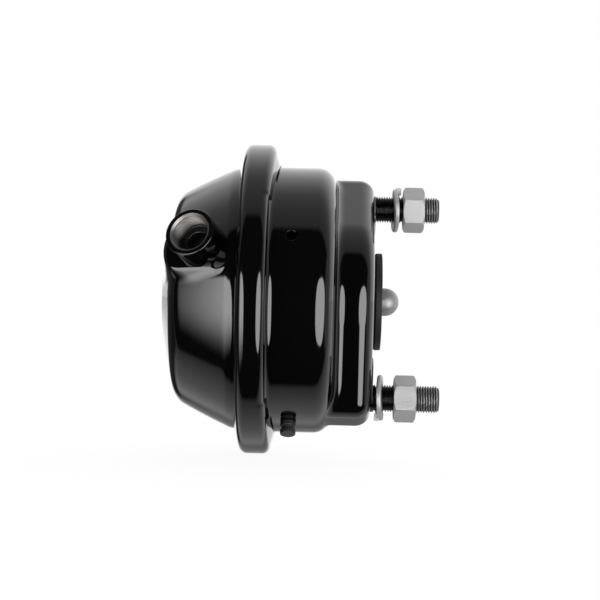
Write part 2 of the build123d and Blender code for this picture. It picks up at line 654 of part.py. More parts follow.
def make_dust_boot():
    """Folded rubber boot between the mounting face and the push rod."""
    foot_x = STUD_PLATE_X - FACE_GAP
    sleeve_x = PUSH_PLATE_X + PUSH_PLATE_THICKNESS + PUSH_ROD_FOOT_THICKNESS + SOFT_GAP
    sleeve = PUSH_ROD_RADIUS + SOFT_GAP + BOOT_THICKNESS
    fold_start = sleeve_x + BOOT_SLEEVE_LENGTH
    fold_end = foot_x - BOOT_FOOT_THICKNESS - BOOT_LAST_FOLD_GAP
    pitch = (fold_end - fold_start) / BOOT_FOLDS
    points = [(sleeve_x, sleeve), (fold_start, sleeve)]
    for fold in range(BOOT_FOLDS):
        points.append((fold_start + (fold + 0.5) * pitch, BOOT_CREST_RADIUS))
        if fold < BOOT_FOLDS - 1:
            points.append((fold_start + (fold + 1) * pitch, BOOT_VALLEY_RADIUS))
    middle_foot = (BOOT_FOOT_INNER_RADIUS + BOOT_FOOT_OUTER_RADIUS) / 2
    points.append((fold_end, BOOT_FOOT_INNER_RADIUS + SOFT_GAP))
    points.append((foot_x - BOOT_FOOT_THICKNESS / 2, middle_foot))
    radii = [BOOT_FOLD_RADIUS] * (len(points) - 2)
    folds = turned(sheet(points, radii, BOOT_THICKNESS))
    foot = tube(
        foot_x - BOOT_FOOT_THICKNESS, foot_x, BOOT_FOOT_OUTER_RADIUS, BOOT_FOOT_INNER_RADIUS
    )
    return folds + foot


def make_boot_retainer():
    """Pressed ring that holds the boot's foot and seats the return spring."""
    flange_x = STUD_PLATE_X - FACE_GAP - RETAINER_THICKNESS
    crown_x = STUD_PLATE_X - FACE_GAP - BOOT_FOOT_THICKNESS - FACE_GAP - RETAINER_THICKNESS
    wall_radius = BOOT_FOOT_OUTER_RADIUS + SOFT_GAP + RETAINER_THICKNESS
    points = [
        (crown_x, BOOT_CREST_RADIUS + 3 * SOFT_GAP),
        (crown_x, wall_radius),
        (flange_x, wall_radius),
        (flange_x, RETAINER_OUTER_RADIUS),
    ]
    return turned(sheet(points, [RETAINER_CROWN_BEND, RETAINER_FLANGE_BEND], RETAINER_THICKNESS))


def make_boot_clip():
    """Ring that grips the boot's sleeve on the push rod."""
    inner = PUSH_ROD_RADIUS + 2 * SOFT_GAP + BOOT_THICKNESS
    start = PUSH_PLATE_X + PUSH_PLATE_THICKNESS + PUSH_ROD_FOOT_THICKNESS + CLIP_OFFSET
    return tube(start, start + CLIP_WIDTH, inner + CLIP_THICKNESS, inner)


def make_mounting_seal():
    """Rubber ring that seals the opening in the mounting face against the brake."""
    neck = CENTRE_OPENING_RADIUS - SEAL_NECK_GAP
    back_x = CAP_FACE_X + FACE_GAP
    lip_x = STUD_PLATE_X - FACE_GAP
    points = [
        (lip_x - SEAL_LIP_THICKNESS, SEAL_INNER_RADIUS + SEAL_TAIL_FLARE),
        (lip_x - SEAL_LIP_THICKNESS, neck - SEAL_LIP_LEAD),
        (lip_x, SEAL_LIP_RADIUS),
        (lip_x, neck),
        (back_x, neck),
        (back_x, SEAL_DISC_RADIUS - SEAL_CHAMFER),
        (back_x + SEAL_CHAMFER, SEAL_DISC_RADIUS),
        (SEAL_FRONT_X - SEAL_EDGE_CHAMFER, SEAL_DISC_RADIUS),
        (SEAL_FRONT_X, SEAL_DISC_RADIUS - SEAL_EDGE_CHAMFER),
        (SEAL_FRONT_X, SEAL_INNER_RADIUS + SEAL_MOUTH_CHAMFER),
        (SEAL_FRONT_X - SEAL_MOUTH_CHAMFER, SEAL_INNER_RADIUS),
        (CAP_INNER_X, SEAL_INNER_RADIUS),
    ]
    return turned_block(points)


PIECES = {
    "pressure_housing": make_pressure_housing,
    "port_bush": make_port_bush,
    "non_pressure_housing": make_non_pressure_housing,
    "stud_plate": make_stud_plate,
    "clamp_band": make_clamp_band,
    "clamp_bolt": make_clamp_bolt,
    "clamp_nut": make_clamp_nut,
    "diaphragm": make_diaphragm,
    "push_plate": make_push_plate,
    "push_rod": make_push_rod,
    "return_spring": make_return_spring,
    "dust_boot": make_dust_boot,
    "boot_retainer": make_boot_retainer,
    "boot_clip": make_boot_clip,
    "mounting_seal": make_mounting_seal,
    "upper_stud": lambda: make_stud(0),
    "lower_stud": lambda: make_stud(1),
    "upper_nut": lambda: make_nut(0, UPPER_NUT_X),
    "lower_nut": lambda: make_nut(1, LOWER_NUT_X),
    "upper_spring_washer": lambda: make_spring_washer(0, UPPER_WASHER_X, 0),
    "lower_spring_washer": lambda: make_spring_washer(1, LOWER_WASHER_X, 180),
    "drain_plug_lower": lambda: make_drain_plug(1),
    "drain_plug_back": lambda: make_drain_plug(2),
    "drain_plug_top": lambda: make_drain_plug(3),
}

os.makedirs("parts", exist_ok=True)
for name, make in PIECES.items():
    export_step(make(), f"parts/{name}.step")
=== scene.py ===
"""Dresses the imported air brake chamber: its surfaces, finishes, light, floor and camera.

Lengths are millimetres until a mesh is made, which is in metres. X runs along the chamber's
axis towards the push rod, Z is up, and X = 0 is the mounting face. Angles about the axis are in
degrees, start at the near side (-Y) and grow upwards, so 90 is the top.
"""

import logging
from dataclasses import dataclass
from enum import Enum
from math import atan2, cos, hypot, pi, radians, sin, tan
from typing import Any, Optional, Sequence, Union

import bmesh
import bpy
import numpy as np
from mathutils import Matrix, Vector


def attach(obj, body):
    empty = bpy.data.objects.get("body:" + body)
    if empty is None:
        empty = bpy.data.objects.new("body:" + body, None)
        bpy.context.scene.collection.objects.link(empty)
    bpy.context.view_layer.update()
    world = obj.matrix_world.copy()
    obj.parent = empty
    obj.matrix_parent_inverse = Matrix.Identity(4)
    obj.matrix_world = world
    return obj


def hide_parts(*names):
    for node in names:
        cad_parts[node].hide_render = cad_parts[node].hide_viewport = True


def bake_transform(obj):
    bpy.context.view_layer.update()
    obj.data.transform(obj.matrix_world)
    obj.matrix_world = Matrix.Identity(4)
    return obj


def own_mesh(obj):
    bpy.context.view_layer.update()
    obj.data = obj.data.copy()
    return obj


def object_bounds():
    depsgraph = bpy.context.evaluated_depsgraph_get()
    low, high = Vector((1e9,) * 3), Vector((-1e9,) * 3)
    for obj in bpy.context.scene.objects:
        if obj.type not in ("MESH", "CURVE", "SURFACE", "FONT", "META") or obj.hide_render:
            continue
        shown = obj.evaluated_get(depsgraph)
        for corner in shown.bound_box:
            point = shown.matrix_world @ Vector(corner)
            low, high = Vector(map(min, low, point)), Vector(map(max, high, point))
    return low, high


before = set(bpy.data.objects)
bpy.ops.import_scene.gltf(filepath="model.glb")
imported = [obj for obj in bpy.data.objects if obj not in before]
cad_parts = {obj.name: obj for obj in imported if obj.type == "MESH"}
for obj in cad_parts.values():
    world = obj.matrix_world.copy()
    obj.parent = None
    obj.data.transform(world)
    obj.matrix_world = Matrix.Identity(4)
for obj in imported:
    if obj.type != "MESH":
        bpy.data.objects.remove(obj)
CAD_BOX = [list(corner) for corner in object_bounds()]

LOG = logging.getLogger("chamber")
MM = 0.001
WELD = 1e-6
COLUMN_STEP = 0.75
AXIS_ANGLES = np.arange(-180.0, 180.0, COLUMN_STEP)
COARSE_ANGLES = np.arange(-180.0, 180.0, 3.0)
TOWARDS_ROD = np.array([1.0, 0.0, 0.0])
UPWARDS = np.array([0.0, 0.0, 1.0])
Array = np.ndarray
Numbers = Union[float, Array]
Pair = tuple[float, float]


class Body(Enum):
    """The bodies that pieces ride on."""

    CHAMBER = "chamber"
    ROD = "push_rod_assembly"
    UPPER_NUT = "upper_nut_body"
    LOWER_NUT = "lower_nut_body"
    UPPER_WASHER = "upper_washer_body"
    LOWER_WASHER = "lower_washer_body"
    PLUG_LOWER = "plug_lower_body"
    PLUG_BACK = "plug_back_body"
    PLUG_TOP = "plug_top_body"


class Side(Enum):
    """Which of the two studs: out along the line through them, or against it."""

    UPPER = 1
    LOWER = -1


def polar(x: Numbers, radius: Numbers, angle: Numbers) -> Array:
    """Points at a radius and an angle about the chamber's axis.

    A point is (x, -radius cos(angle), radius sin(angle)).

    Args:
        x: places along the axis.
        radius: distances from the axis.
        angle: angles about the axis, in degrees.

    Returns:
        The points, with a last axis of three.
    """
    turn = np.radians(angle)
    x, radius, turn = np.broadcast_arrays(x, radius, turn)
    return np.stack([x, -radius * np.cos(turn), radius * np.sin(turn)], axis=-1)


def at_x(x: Numbers, places: Array) -> Array:
    """Points (x, y, z) of places (y, z), with one x for all of them or one for each."""
    return np.column_stack([np.broadcast_to(x, len(places)), places])


def unit(vectors: Array) -> Array:
    """Vectors divided by their own lengths."""
    return vectors / np.linalg.norm(vectors, axis=-1, keepdims=True)


def smooth_max(a: Array, b: Array, width: float) -> Array:
    """Larger of two heights with a fillet: max(a, b) + h h width / 4, h = 1 - |a - b| / width."""
    share = np.maximum(1.0 - np.abs(a - b) / width, 0.0)
    return np.maximum(a, b) + share * share * width / 4.0


def smooth_min(a: Array, b: Array, width: float) -> Array:
    """Smaller of two heights with a rounded edge, the mirror image of smooth_max."""
    return -smooth_max(-a, -b, width)


def smooth_step(start: float, end: float, value: Array) -> Array:
    """Rises from 0 at start to 1 at end as 3 t t - 2 t t t."""
    share = np.clip((value - start) / (end - start), 0.0, 1.0)
    return share * share * (3.0 - 2.0 * share)


def thread_wave(turns: Array, gain: float, cut: float) -> Array:
    """Wave of a thread, from 0 to 1 and back in each turn.

    It is gain (1 - |2 f - 1|) - cut, where f is the fraction of the turns. What goes beyond 0
    or 1 is clipped, which squares off the root and the crest.

    Args:
        turns: how many turns lie below each point.
        gain: steepness of the flanks.
        cut: how much of the wave's foot is clipped.

    Returns:
        The wave at each point.
    """
    share = np.mod(turns, 1.0)
    return np.clip(gain * (1 - np.abs(2 * share - 1)) - cut, 0.0, 1.0)


def rounded(points: Sequence[Pair], radii: Sequence[float], steps: int = 10,
            fill: int = 2, closed: bool = False) -> Array:
    """Points of a line with rounded corners.

    A corner of turn t and radius r gives an arc that starts r tan(t / 2) before it and has its
    centre r to the side. Each straight gets points near its two ends, which keep it flat under
    smooth shading, and others spread between them.

    Args:
        points: corners of the line.
        radii: radius of each corner; the two ends of an open line have none.
        steps: chords in each arc.
        fill: points between the ends of each straight.
        closed: whether the line returns to its start, with every point a corner.

    Returns:
        The points, as rows of two. A closed line doesn't repeat its first point.
    """
    corners = np.asarray(points, float)
    if closed:
        corners = np.vstack([corners[-1:], corners, corners[:1]])
    arcs = [corners[:1]]
    for before, corner, after, radius in zip(corners, corners[1:], corners[2:], radii):
        into, out = unit(corner - before), unit(after - corner)
        side = np.array([-into[1], into[0]])
        turn = atan2(float(side @ out), float(into @ out))
        side = side * np.sign(turn)
        centre = corner - into * radius * tan(abs(turn) / 2) + side * radius
        swing = np.linspace(0.0, abs(turn), steps + 1)[:, None]
        arcs.append(centre + radius * (np.sin(swing) * into - np.cos(swing) * side))
    arcs.append(corners[-1:])
    if closed:
        arcs = [*arcs[1:-1], arcs[1][:1]]
    support = 0.06
    shares = np.concatenate([[support], np.linspace(0, 1, fill + 2)[1:-1], [1 - support]])
    line = [arcs[0]]
    for arc, following in zip(arcs, arcs[1:]):
        start, end = arc[-1], following[0]
        line.append(start + shares[:, None] * (end - start))
        line.append(following)
    whole = np.vstack(line)
    return whole[:-1] if closed else whole


def parallel(points: Sequence[Pair], distance: float) -> Array:
    """Corners of the line that runs a distance to the right of a line, with mitred corners."""
    corners = np.asarray(points, float)
    spans = unit(np.diff(corners, axis=0))
    normals = np.stack([spans[:, 1], -spans[:, 0]], axis=1)
    before, after = normals[:-1], normals[1:]
    dots = (before * after).sum(axis=1, keepdims=True)
    mitres = (before + after) * distance / (1.0 + dots)
    offsets = np.vstack([normals[:1] * distance, mitres, normals[-1:] * distance])
    return corners + offsets


def parallel_radii(points: Sequence[Pair], radii: Sequence[float], distance: float) -> list[float]:
    """Corner radii of the parallel line: larger on a left turn and smaller on a right one."""
    spans = np.diff(np.asarray(points, float), axis=0)
    turns = spans[:-1, 0] * spans[1:, 1] - spans[:-1, 1] * spans[1:, 0]
    changed = np.asarray(radii) + np.sign(turns) * distance
    return list(np.maximum(changed, 0.5))


@dataclass
class Patch:
    """A surface given by its points on a grid of rows and columns.

    Each cell of four neighbouring points is a face. Rows and columns may close on themselves.
    """

    points: Array
    rows_close: bool = False
    columns_close: bool = False
    openings: Optional[Array] = None

    def faces(self, offset: int) -> Array:
        """Corner numbers of the faces, counted from an offset, without the openings' cells."""
        rows, columns = self.points.shape[:2]
        index = np.arange(rows * columns).reshape(rows, columns)
        if self.rows_close:
            index = np.vstack([index, index[:1]])
        if self.columns_close:
            index = np.hstack([index, index[:, :1]])
        cells = [index[:-1, :-1], index[1:, :-1], index[1:, 1:], index[:-1, 1:]]
        quads = np.stack(cells, axis=-1)
        if self.openings is not None:
            quads = quads[~self.openings]
        return quads.reshape(-1, 4) + offset

    def no_openings(self) -> Array:
        """A mask of the cells with nothing opened, to be filled in."""
        rows, columns = self.points.shape[:2]
        return np.zeros((rows - 1 + self.rows_close, columns - 1 + self.columns_close), bool)


def turned(profile: Array, angles: Array = AXIS_ANGLES, closed: bool = False) -> Patch:
    """Surface of revolution about the chamber's axis: each (x, r) swept through the angles."""
    grid = polar(profile[None, :, 0], profile[None, :, 1], angles[:, None])
    return Patch(grid, True, closed)


@dataclass(frozen=True)
class Spindle:
    """An axis with an origin and two directions square to it, for pieces turned about it."""

    origin: Array
    along: Array
    across: Array

    @property
    def upright(self) -> Array:
        """The third direction, square to the other two."""
        return np.cross(self.along, self.across)

    @property
    def rise(self) -> Array:
        """The direction square to the axis that climbs most."""
        return unit(UPWARDS - self.along * self.along[2])

    def place(self, height: Numbers, radius: Numbers, angle: Numbers) -> Array:
        """Points at a height along the axis, a radius from it and an angle in degrees about it."""
        turn = np.radians(angle)
        height, radius, turn = np.broadcast_arrays(height, radius, turn)
        sideways = radius * np.cos(turn)
        upwards = radius * np.sin(turn)
        return (self.origin + height[..., None] * self.along
                + sideways[..., None] * self.across + upwards[..., None] * self.upright)

    def turned(self, profile: Array, count: int) -> Patch:
        """Surface of revolution of a profile of (height, radius) about this axis."""
        angles = np.arange(count) * 360.0 / count
        return Patch(self.place(profile[None, :, 0], profile[None, :, 1], angles[:, None]), True)


@dataclass(frozen=True)
class Outline:
    """Convex outline: the hull of circles in a plane, listed against the clock.

    The hull leaves circle i for circle j where its outward normal n has
    (cj - ci) . n = ri - rj, so the normal's angle there is the angle of cj - ci less
    arccos((ri - rj) / |cj - ci|).
    """

    centres: Array
    radii: Array

    def trace(self, samples: int = 200) -> tuple[Array, Array]:
        """Points once round, with each circle's arc sampled evenly, and their normals' angles."""
        span = np.roll(self.centres, -1, axis=0) - self.centres
        length = np.linalg.norm(span, axis=1)
        lean = np.arccos((self.radii - np.roll(self.radii, -1)) / length)
        leave = np.arctan2(span[:, 1], span[:, 0]) - lean
        sweep = np.mod(leave - np.roll(leave, 1), 2 * pi)
        enter = leave[-1] + np.concatenate([[0.0], np.cumsum(sweep)[:-1]])
        normal = enter[:, None] + sweep[:, None] * np.linspace(0, 1, samples)
        facing = np.stack([np.cos(normal), np.sin(normal)], axis=-1)
        points = self.centres[:, None] + self.radii[:, None, None] * facing
        return points.reshape(-1, 2), normal.reshape(-1)

    def ring(self, directions: Array, centre: Pair = (0.0, 0.0)) -> tuple[Array, Array]:
        """Points of the outline seen from a centre at given directions, and unit normals there.

        The traced points are looked up by the angle at which the centre sees them. Two
        neighbours on a straight span give points on that span.

        Args:
            directions: angles seen from the centre, in radians.
            centre: a point inside the outline.

        Returns:
            The points and the outward unit normals, as rows of two.
        """
        points, normals = self.trace()
        seen = np.unwrap(np.arctan2(points[:, 1] - centre[1], points[:, 0] - centre[0]))
        wanted = seen[0] + np.mod(directions - seen[0], 2 * pi)
        seen = np.append(seen, seen[0] + 2 * pi)
        columns = [np.append(points[:, 0], points[0, 0]), np.append(points[:, 1], points[0, 1])]
        columns.append(np.append(normals, normals[0] + 2 * pi))
        y, z, normal = (np.interp(wanted, seen, column) for column in columns)
        return np.stack([y, z], axis=-1), np.stack([np.cos(normal), np.sin(normal)], axis=-1)


def hexagon(across_flats: float, edge: float = 0.35) -> Outline:
    """Hexagon with its corners up and down and a small radius along each edge."""
    angles = np.radians(np.arange(6) * 60.0)
    reach = (across_flats / 2 - edge) / cos(radians(30))
    corners = reach * np.stack([np.cos(angles), np.sin(angles)], axis=-1)
    return Outline(corners, np.full(len(corners), edge))


def weld(name: str, patches: Sequence[Patch], sharp: float = 40.0) -> bpy.types.Object:
    """Makes one mesh object of patches.

    Points of neighbouring patches that fall together become one, cells that have shrunk to
    nothing go, and the faces are turned outwards.

    Args:
        name: the object's name.
        patches: the surfaces, in millimetres.
        sharp: edges that turn by more than this many degrees stay crisp.

    Returns:
        The object, at the origin.
    """
    points = np.concatenate([patch.points.reshape(-1, 3) for patch in patches]) * MM
    starts = np.cumsum([0] + [patch.points.size // 3 for patch in patches])
    faces = np.concatenate([patch.faces(start) for patch, start in zip(patches, starts)])
    mesh = bpy.data.meshes.new(name)
    mesh.vertices.add(len(points))
    mesh.vertices.foreach_set("co", points.astype(np.float32).ravel())
    mesh.loops.add(faces.size)
    mesh.loops.foreach_set("vertex_index", faces.astype(np.int32).ravel())
    mesh.polygons.add(len(faces))
    mesh.polygons.foreach_set("loop_start", np.arange(0, faces.size, 4, dtype=np.int32))
    mesh.update(calc_edges=True)
    edit = bmesh.new()
    edit.from_mesh(mesh)
    bmesh.ops.remove_doubles(edit, verts=edit.verts, dist=WELD)
    bmesh.ops.dissolve_degenerate(edit, dist=WELD, edges=edit.edges)
    bmesh.ops.recalc_face_normals(edit, faces=edit.faces)
    edit.to_mesh(mesh)
    edit.free()
    mesh.polygons.foreach_set("use_smooth", np.ones(len(mesh.polygons), bool))
    mesh.set_sharp_from_angle(angle=radians(sharp))
    piece = bpy.data.objects.new(name, mesh)
    bpy.context.scene.collection.objects.link(piece)
    return piece


Number = Union["Wire", float]


class Wire:
    """A value on its way through a material's nodes, with the sums that finishes are written in."""

    def __init__(self, bench: "Bench", socket: bpy.types.NodeSocket) -> None:
        """Wraps a socket of a bench's node tree."""
        self.bench = bench
        self.socket = socket

    def maths(self, operation: str, *others: Number) -> "Wire":
        """Adds a Math node that takes this value first."""
        node = self.bench.node("ShaderNodeMath", {"operation": operation},
                               dict(enumerate([self, *others])))
        return Wire(self.bench, node.outputs[0])

    def __add__(self, other: Number) -> "Wire":
        """This value plus another."""
        return self.maths("ADD", other)

    __radd__ = __add__

    def __mul__(self, other: Number) -> "Wire":
        """This value times another."""
        return self.maths("MULTIPLY", other)

    __rmul__ = __mul__

    def __sub__(self, other: Number) -> "Wire":
        """This value less another."""
        return self.maths("SUBTRACT", other)

    def __rsub__(self, other: float) -> "Wire":
        """A number less this value."""
        return self.maths("MULTIPLY", -1.0) + other

    def __truediv__(self, other: Number) -> "Wire":
        """This value divided by another."""
        return self.maths("DIVIDE", other)

    def __abs__(self) -> "Wire":
        """This value without its sign."""
        return self.maths("ABSOLUTE")

    def __pow__(self, power: float) -> "Wire":
        """This value to a power."""
        return self.maths("POWER", power)

    def most(self, other: Number) -> "Wire":
        """The larger of this value and another."""
        return self.maths("MAXIMUM", other)

    def step(self, start: float, end: float) -> "Wire":
        """Rises smoothly from 0 at start to 1 at end; start may be above end."""
        low, high, bottom, top = (start, end, 0.0, 1.0) if start < end else (end, start, 1.0, 0.0)
        node = self.bench.node(
            "ShaderNodeMapRange", {"interpolation_type": "SMOOTHSTEP"},
            {"Value": self, "From Min": low, "From Max": high, "To Min": bottom, "To Max": top})
        return Wire(self.bench, node.outputs[0])


class Bench:
    """The node tree of a material or of the world, and the one place where nodes are made."""

    def __init__(self, owner: Union[bpy.types.Material, bpy.types.World]) -> None:
        """Empties an owner's node tree."""
        owner.use_nodes = True
        self.owner = owner
        self.tree = owner.node_tree
        self.tree.nodes.clear()

    def node(self, kind: str, settings: dict[str, Any], inputs: dict[Any, Any]) -> bpy.types.Node:
        """Adds a node.

        Args:
            kind: the node's type.
            settings: what is set on the node first; "stops" are a colour ramp's places and
                colours.
            inputs: values or wires by the name or the number of the socket.

        Returns:
            The node.
        """
        node = self.tree.nodes.new(kind)
        for key, value in settings.items():
            if key == "stops":
                self._set_stops(node.color_ramp, value)
            else:
                setattr(node, key, value)
        for key, value in inputs.items():
            if isinstance(value, Wire):
                self.tree.links.new(value.socket, node.inputs[key])
            else:
                node.inputs[key].default_value = value
        return node

    @staticmethod
    def _set_stops(ramp: bpy.types.ColorRamp, stops: Sequence[tuple[float, float]]) -> None:
        """Gives a ramp grey stops as pairs of a place and a level."""
        while len(ramp.elements) < len(stops):
            ramp.elements.new(1.0)
        for element, (place, level) in zip(ramp.elements, stops):
            element.position = place
            element.color = (level, level, level, 1.0)

    def wire(self, node: bpy.types.Node, output: Any = 0) -> Wire:
        """One of a node's outputs as a value."""
        return Wire(self, node.outputs[output])

    def coordinates(self, kind: str = "Object") -> Wire:
        """The shaded point in the frame, in metres, or another kind of coordinates."""
        return self.wire(self.node("ShaderNodeTexCoord", {}, {}), kind)

    def split(self, vector: Wire) -> tuple[Wire, ...]:
        """The three parts of a vector."""
        node = self.node("ShaderNodeSeparateXYZ", {}, {0: vector})
        return tuple(self.wire(node, axis) for axis in "XYZ")

    def vector(self, operation: str, *inputs: Any, output: Any = 0) -> Wire:
        """One output of a sum of vectors."""
        node = self.node("ShaderNodeVectorMath", {"operation": operation}, dict(enumerate(inputs)))
        return self.wire(node, output)

    def noise(self, scale: float, detail: float = 3.0, roughness: float = 0.55,
              stretch: Sequence[float] = (1.0, 1.0, 1.0)) -> Wire:
        """Noise from 0 to 1 on object coordinates, with its grain stretched along the axes."""
        mapping = self.node("ShaderNodeMapping", {}, {
            "Vector": self.coordinates(), "Scale": stretch})
        noise = self.node("ShaderNodeTexNoise", {}, {
            "Vector": self.wire(mapping), "Scale": scale, "Detail": detail,
            "Roughness": roughness})
        return self.wire(noise)

    def blend(self, share: Number, first: Any, second: Any) -> Wire:
        """A colour that goes from the first to the second as the share goes from 0 to 1."""
        node = self.node("ShaderNodeMix", {"data_type": "RGBA"}, {0: share, 6: first, 7: second})
        return self.wire(node, 2)

    def bump(self, height: Wire, depth: float) -> Wire:
        """A normal that follows a height of 0 to 1, with a depth in metres."""
        node = self.node("ShaderNodeBump", {}, {"Height": height, "Distance": depth})
        return self.wire(node)

    def to_camera(self, share: float, lit: bpy.types.Node, seen: bpy.types.Node,
                  output: str) -> None:
        """Ends the tree in one shader, of which camera rays see a share of another instead."""
        ray = self.wire(self.node("ShaderNodeLightPath", {}, {}), "Is Camera Ray")
        mix = self.node("ShaderNodeMixShader", {}, {
            0: ray * share, 1: self.wire(lit), 2: self.wire(seen)})
        self.node(output, {}, {"Surface": self.wire(mix)})

    def surface(self, **sockets: Any) -> bpy.types.Material:
        """Ends a material's tree in a Principled shader and returns the material."""
        named = {key.replace("_", " "): value for key, value in sockets.items()}
        shader = self.node("ShaderNodeBsdfPrincipled", {}, named)
        self.node("ShaderNodeOutputMaterial", {}, {"Surface": self.wire(shader)})
        return self.owner


def grey(level: float, warmth: float = 0.0) -> tuple[float, float, float, float]:
    """A grey in linear light, a little warmer above zero warmth and cooler below."""
    return (level * (1 + warmth), level, level * (1 - warmth), 1.0)


@dataclass(frozen=True)
class GlossPaint:
    """Black gloss paint over pressed steel, with the faint ripple of a sprayed coat."""

    name: str = "black_gloss_paint"
    level: float = 0.0012
    roughness: float = 0.06
    ripple: float = 0.000012
    index: float = 1.6

    def make(self) -> bpy.types.Material:
        """Returns the material: a slow ripple bends the gloss, fine grain varies its sharpness."""
        bench = Bench(bpy.data.materials.new(self.name))
        cloud = bench.noise(28.0, 2.0)
        grain = bench.noise(900.0, 4.0)
        ripple = bench.noise(110.0, 1.0)
        return bench.surface(
            Base_Color=bench.blend(cloud, grey(self.level, -0.06), grey(self.level * 1.6, -0.1)),
            Roughness=cloud * 0.03 + grain * 0.035 + (self.roughness - 0.03),
            IOR=self.index,
            Normal=bench.bump(ripple + grain * 0.08, self.ripple))


@dataclass(frozen=True)
class Zinc:
    """Dull zinc plate: its passivated skin scatters part of the light and reflects the rest."""

    name: str = "dull_zinc"
    level: float = 0.47
    roughness: float = 0.52
    metallic: float = 0.4
    grain: float = 0.000006

    def make(self) -> bpy.types.Material:
        """Returns the material: clouds vary the shine, fine grain roughens it."""
        bench = Bench(bpy.data.materials.new(self.name))
        cloud = bench.noise(160.0, 4.0)
        grain = bench.noise(2600.0, 3.0)
        tone = bench.blend(cloud, grey(self.level * 0.93, -0.01), grey(self.level * 1.07, 0.012))
        return bench.surface(
            Base_Color=tone, Metallic=self.metallic,
            Roughness=cloud * 0.08 + grain * 0.04 + (self.roughness - 0.06),
            Normal=bench.bump(grain, self.grain))


@dataclass(frozen=True)
class TurnedSteel:
    """Machined steel with fine lines left by the tool, drawn along one direction."""

    name: str = "turned_steel"
    level: float = 0.5
    warmth: float = 0.03
    roughness: float = 0.28
    lines: tuple[float, float, float] = (12.0, 1.0, 1.0)
    groove: float = 0.000015

    def make(self) -> bpy.types.Material:
        """Returns the material: stretched noise gives the lines and their glint."""
        bench = Bench(bpy.data.materials.new(self.name))
        lines = bench.noise(260.0, 3.0, stretch=self.lines)
        cloud = bench.noise(60.0, 3.0)
        light, dark = grey(self.level * 1.12, self.warmth), grey(self.level * 0.82, self.warmth)
        return bench.surface(
            Base_Color=bench.blend(cloud * 0.6 + lines * 0.4, dark, light), Metallic=1.0,
            Roughness=lines * 0.14 + (self.roughness - 0.07),
            Normal=bench.bump(lines, self.groove))


@dataclass(frozen=True)
class StudSteel:
    """Rolled thread that is black with paint up to the nut and bare steel beyond it."""

    name: str
    paint_end: float
    centre: Pair
    root: float
    crest: float
    level: float = 0.42
    paint_level: float = 0.002
    paint_fade: float = 0.5
    ragged_edge: float = 0.0016
    scratch: float = 0.00001

    def make(self) -> bpy.types.Material:
        """Returns the material.

        An uneven edge along X parts the paint from the steel. The steel's colour darkens towards
        the thread's root, by the distance from the stud's axis: painted shade in the grooves.
        """
        bench = Bench(bpy.data.materials.new(self.name))
        ragged = bench.noise(420.0, 4.0)
        x, *aside = bench.split(bench.coordinates())
        edge = x + ragged * self.ragged_edge
        bare = edge.step(self.paint_end * MM, (self.paint_end + self.paint_fade) * MM)
        scratches = bench.noise(900.0, 3.0, stretch=(1.0, 5.0, 5.0))
        y, z = (place - centre * MM for place, centre in zip(aside, self.centre))
        radius = (y * y + z * z) ** 0.5
        # Painted shade: the colour darkens towards the thread's root, mixed with a little scratch
        # tone.
        root_shade_and_scratches = radius.step(self.root * MM, self.crest * MM) * 0.85 + scratches * 0.15
        steel = bench.blend(root_shade_and_scratches, grey(self.level * 0.12), grey(self.level))
        return bench.surface(
            Base_Color=bench.blend(bare, grey(self.paint_level), steel), Metallic=bare * 0.7,
            Roughness=bare * 0.22 + ragged * 0.08 + 0.22, IOR=1.5,
            Normal=bench.bump(scratches, self.scratch))


@dataclass(frozen=True)
class PortSteel:
    """The port's bush: painted black outside, bare cut steel in its threaded bore."""

    name: str
    spindle: Spindle
    lip_radius: float
    core: float
    bottom: float
    level: float = 0.25
    paint_level: float = 0.0015
    groove_span: Pair = (0.1, 0.6)
    groove_start: Pair = (-1.2, -2.0)
    edge_fade: float = 0.1
    bottom_span: Pair = (0.1, -0.3)
    shade_start: float = 0.45
    wear: float = 0.3
    grain: float = 0.00001

    def make(self) -> bpy.types.Material:
        """Returns the material.

        The distance from the port's axis parts bare from painted. The bare steel's colour is
        darkened in the thread's grooves and towards the bottom of the bore: painted shade, where
        less light comes in.
        """
        bench = Bench(bpy.data.materials.new(self.name))
        origin, along = tuple(self.spindle.origin * MM), tuple(self.spindle.along)
        offset = bench.vector("SUBTRACT", bench.coordinates(), origin)
        radius = bench.vector("LENGTH", bench.vector("CROSS_PRODUCT", offset, along),
                              output="Value")
        height = bench.vector("DOT_PRODUCT", offset, along, output="Value")
        ragged = bench.noise(500.0, 3.0) * (self.wear * MM)
        inside = (radius + ragged).step((self.lip_radius + self.edge_fade) * MM,
                                        (self.lip_radius - self.edge_fade) * MM)
        bare = inside * height.step(*(-(self.bottom + end) * MM for end in self.bottom_span))
        glint = bench.noise(380.0, 3.0)
        # Painted shade: darker colour in the thread's grooves and towards the bottom of the bore.
        groove = radius.step(*((self.core + end) * MM for end in self.groove_span))
        groove = groove * height.step(*(end * MM for end in self.groove_start))
        lit = height.step(-self.bottom * MM, -self.shade_start * self.bottom * MM)
        shade = (1.0 - groove * 0.75) * (lit * 0.75 + 0.25)
        light = shade * (glint * 0.2 + 0.8)
        steel = bench.blend(light, grey(0.004, 0.05), grey(self.level, 0.045))
        return bench.surface(
            Base_Color=bench.blend(bare, grey(self.paint_level), steel), Metallic=bare,
            Roughness=bare * 0.34 + glint * 0.06 + 0.08, IOR=1.6,
            Normal=bench.bump(glint, self.grain))


@dataclass(frozen=True)
class Rubber:
    """Moulded black rubber with a dull, slightly dusty skin."""

    name: str
    level: float = 0.012
    roughness: float = 0.6
    grain: float = 0.00003

    def make(self) -> bpy.types.Material:
        """Returns the material: fine bloom lightens the skin and grain breaks its shine."""
        bench = Bench(bpy.data.materials.new(self.name))
        bloom = bench.noise(90.0, 5.0)
        grain = bench.noise(1600.0, 3.0)
        return bench.surface(
            Base_Color=bench.blend(bloom, grey(self.level), grey(self.level * 1.9)),
            Roughness=grain * 0.16 + bloom * 0.1 + (self.roughness - 0.12), IOR=1.5,
            Normal=bench.bump(grain, self.grain))


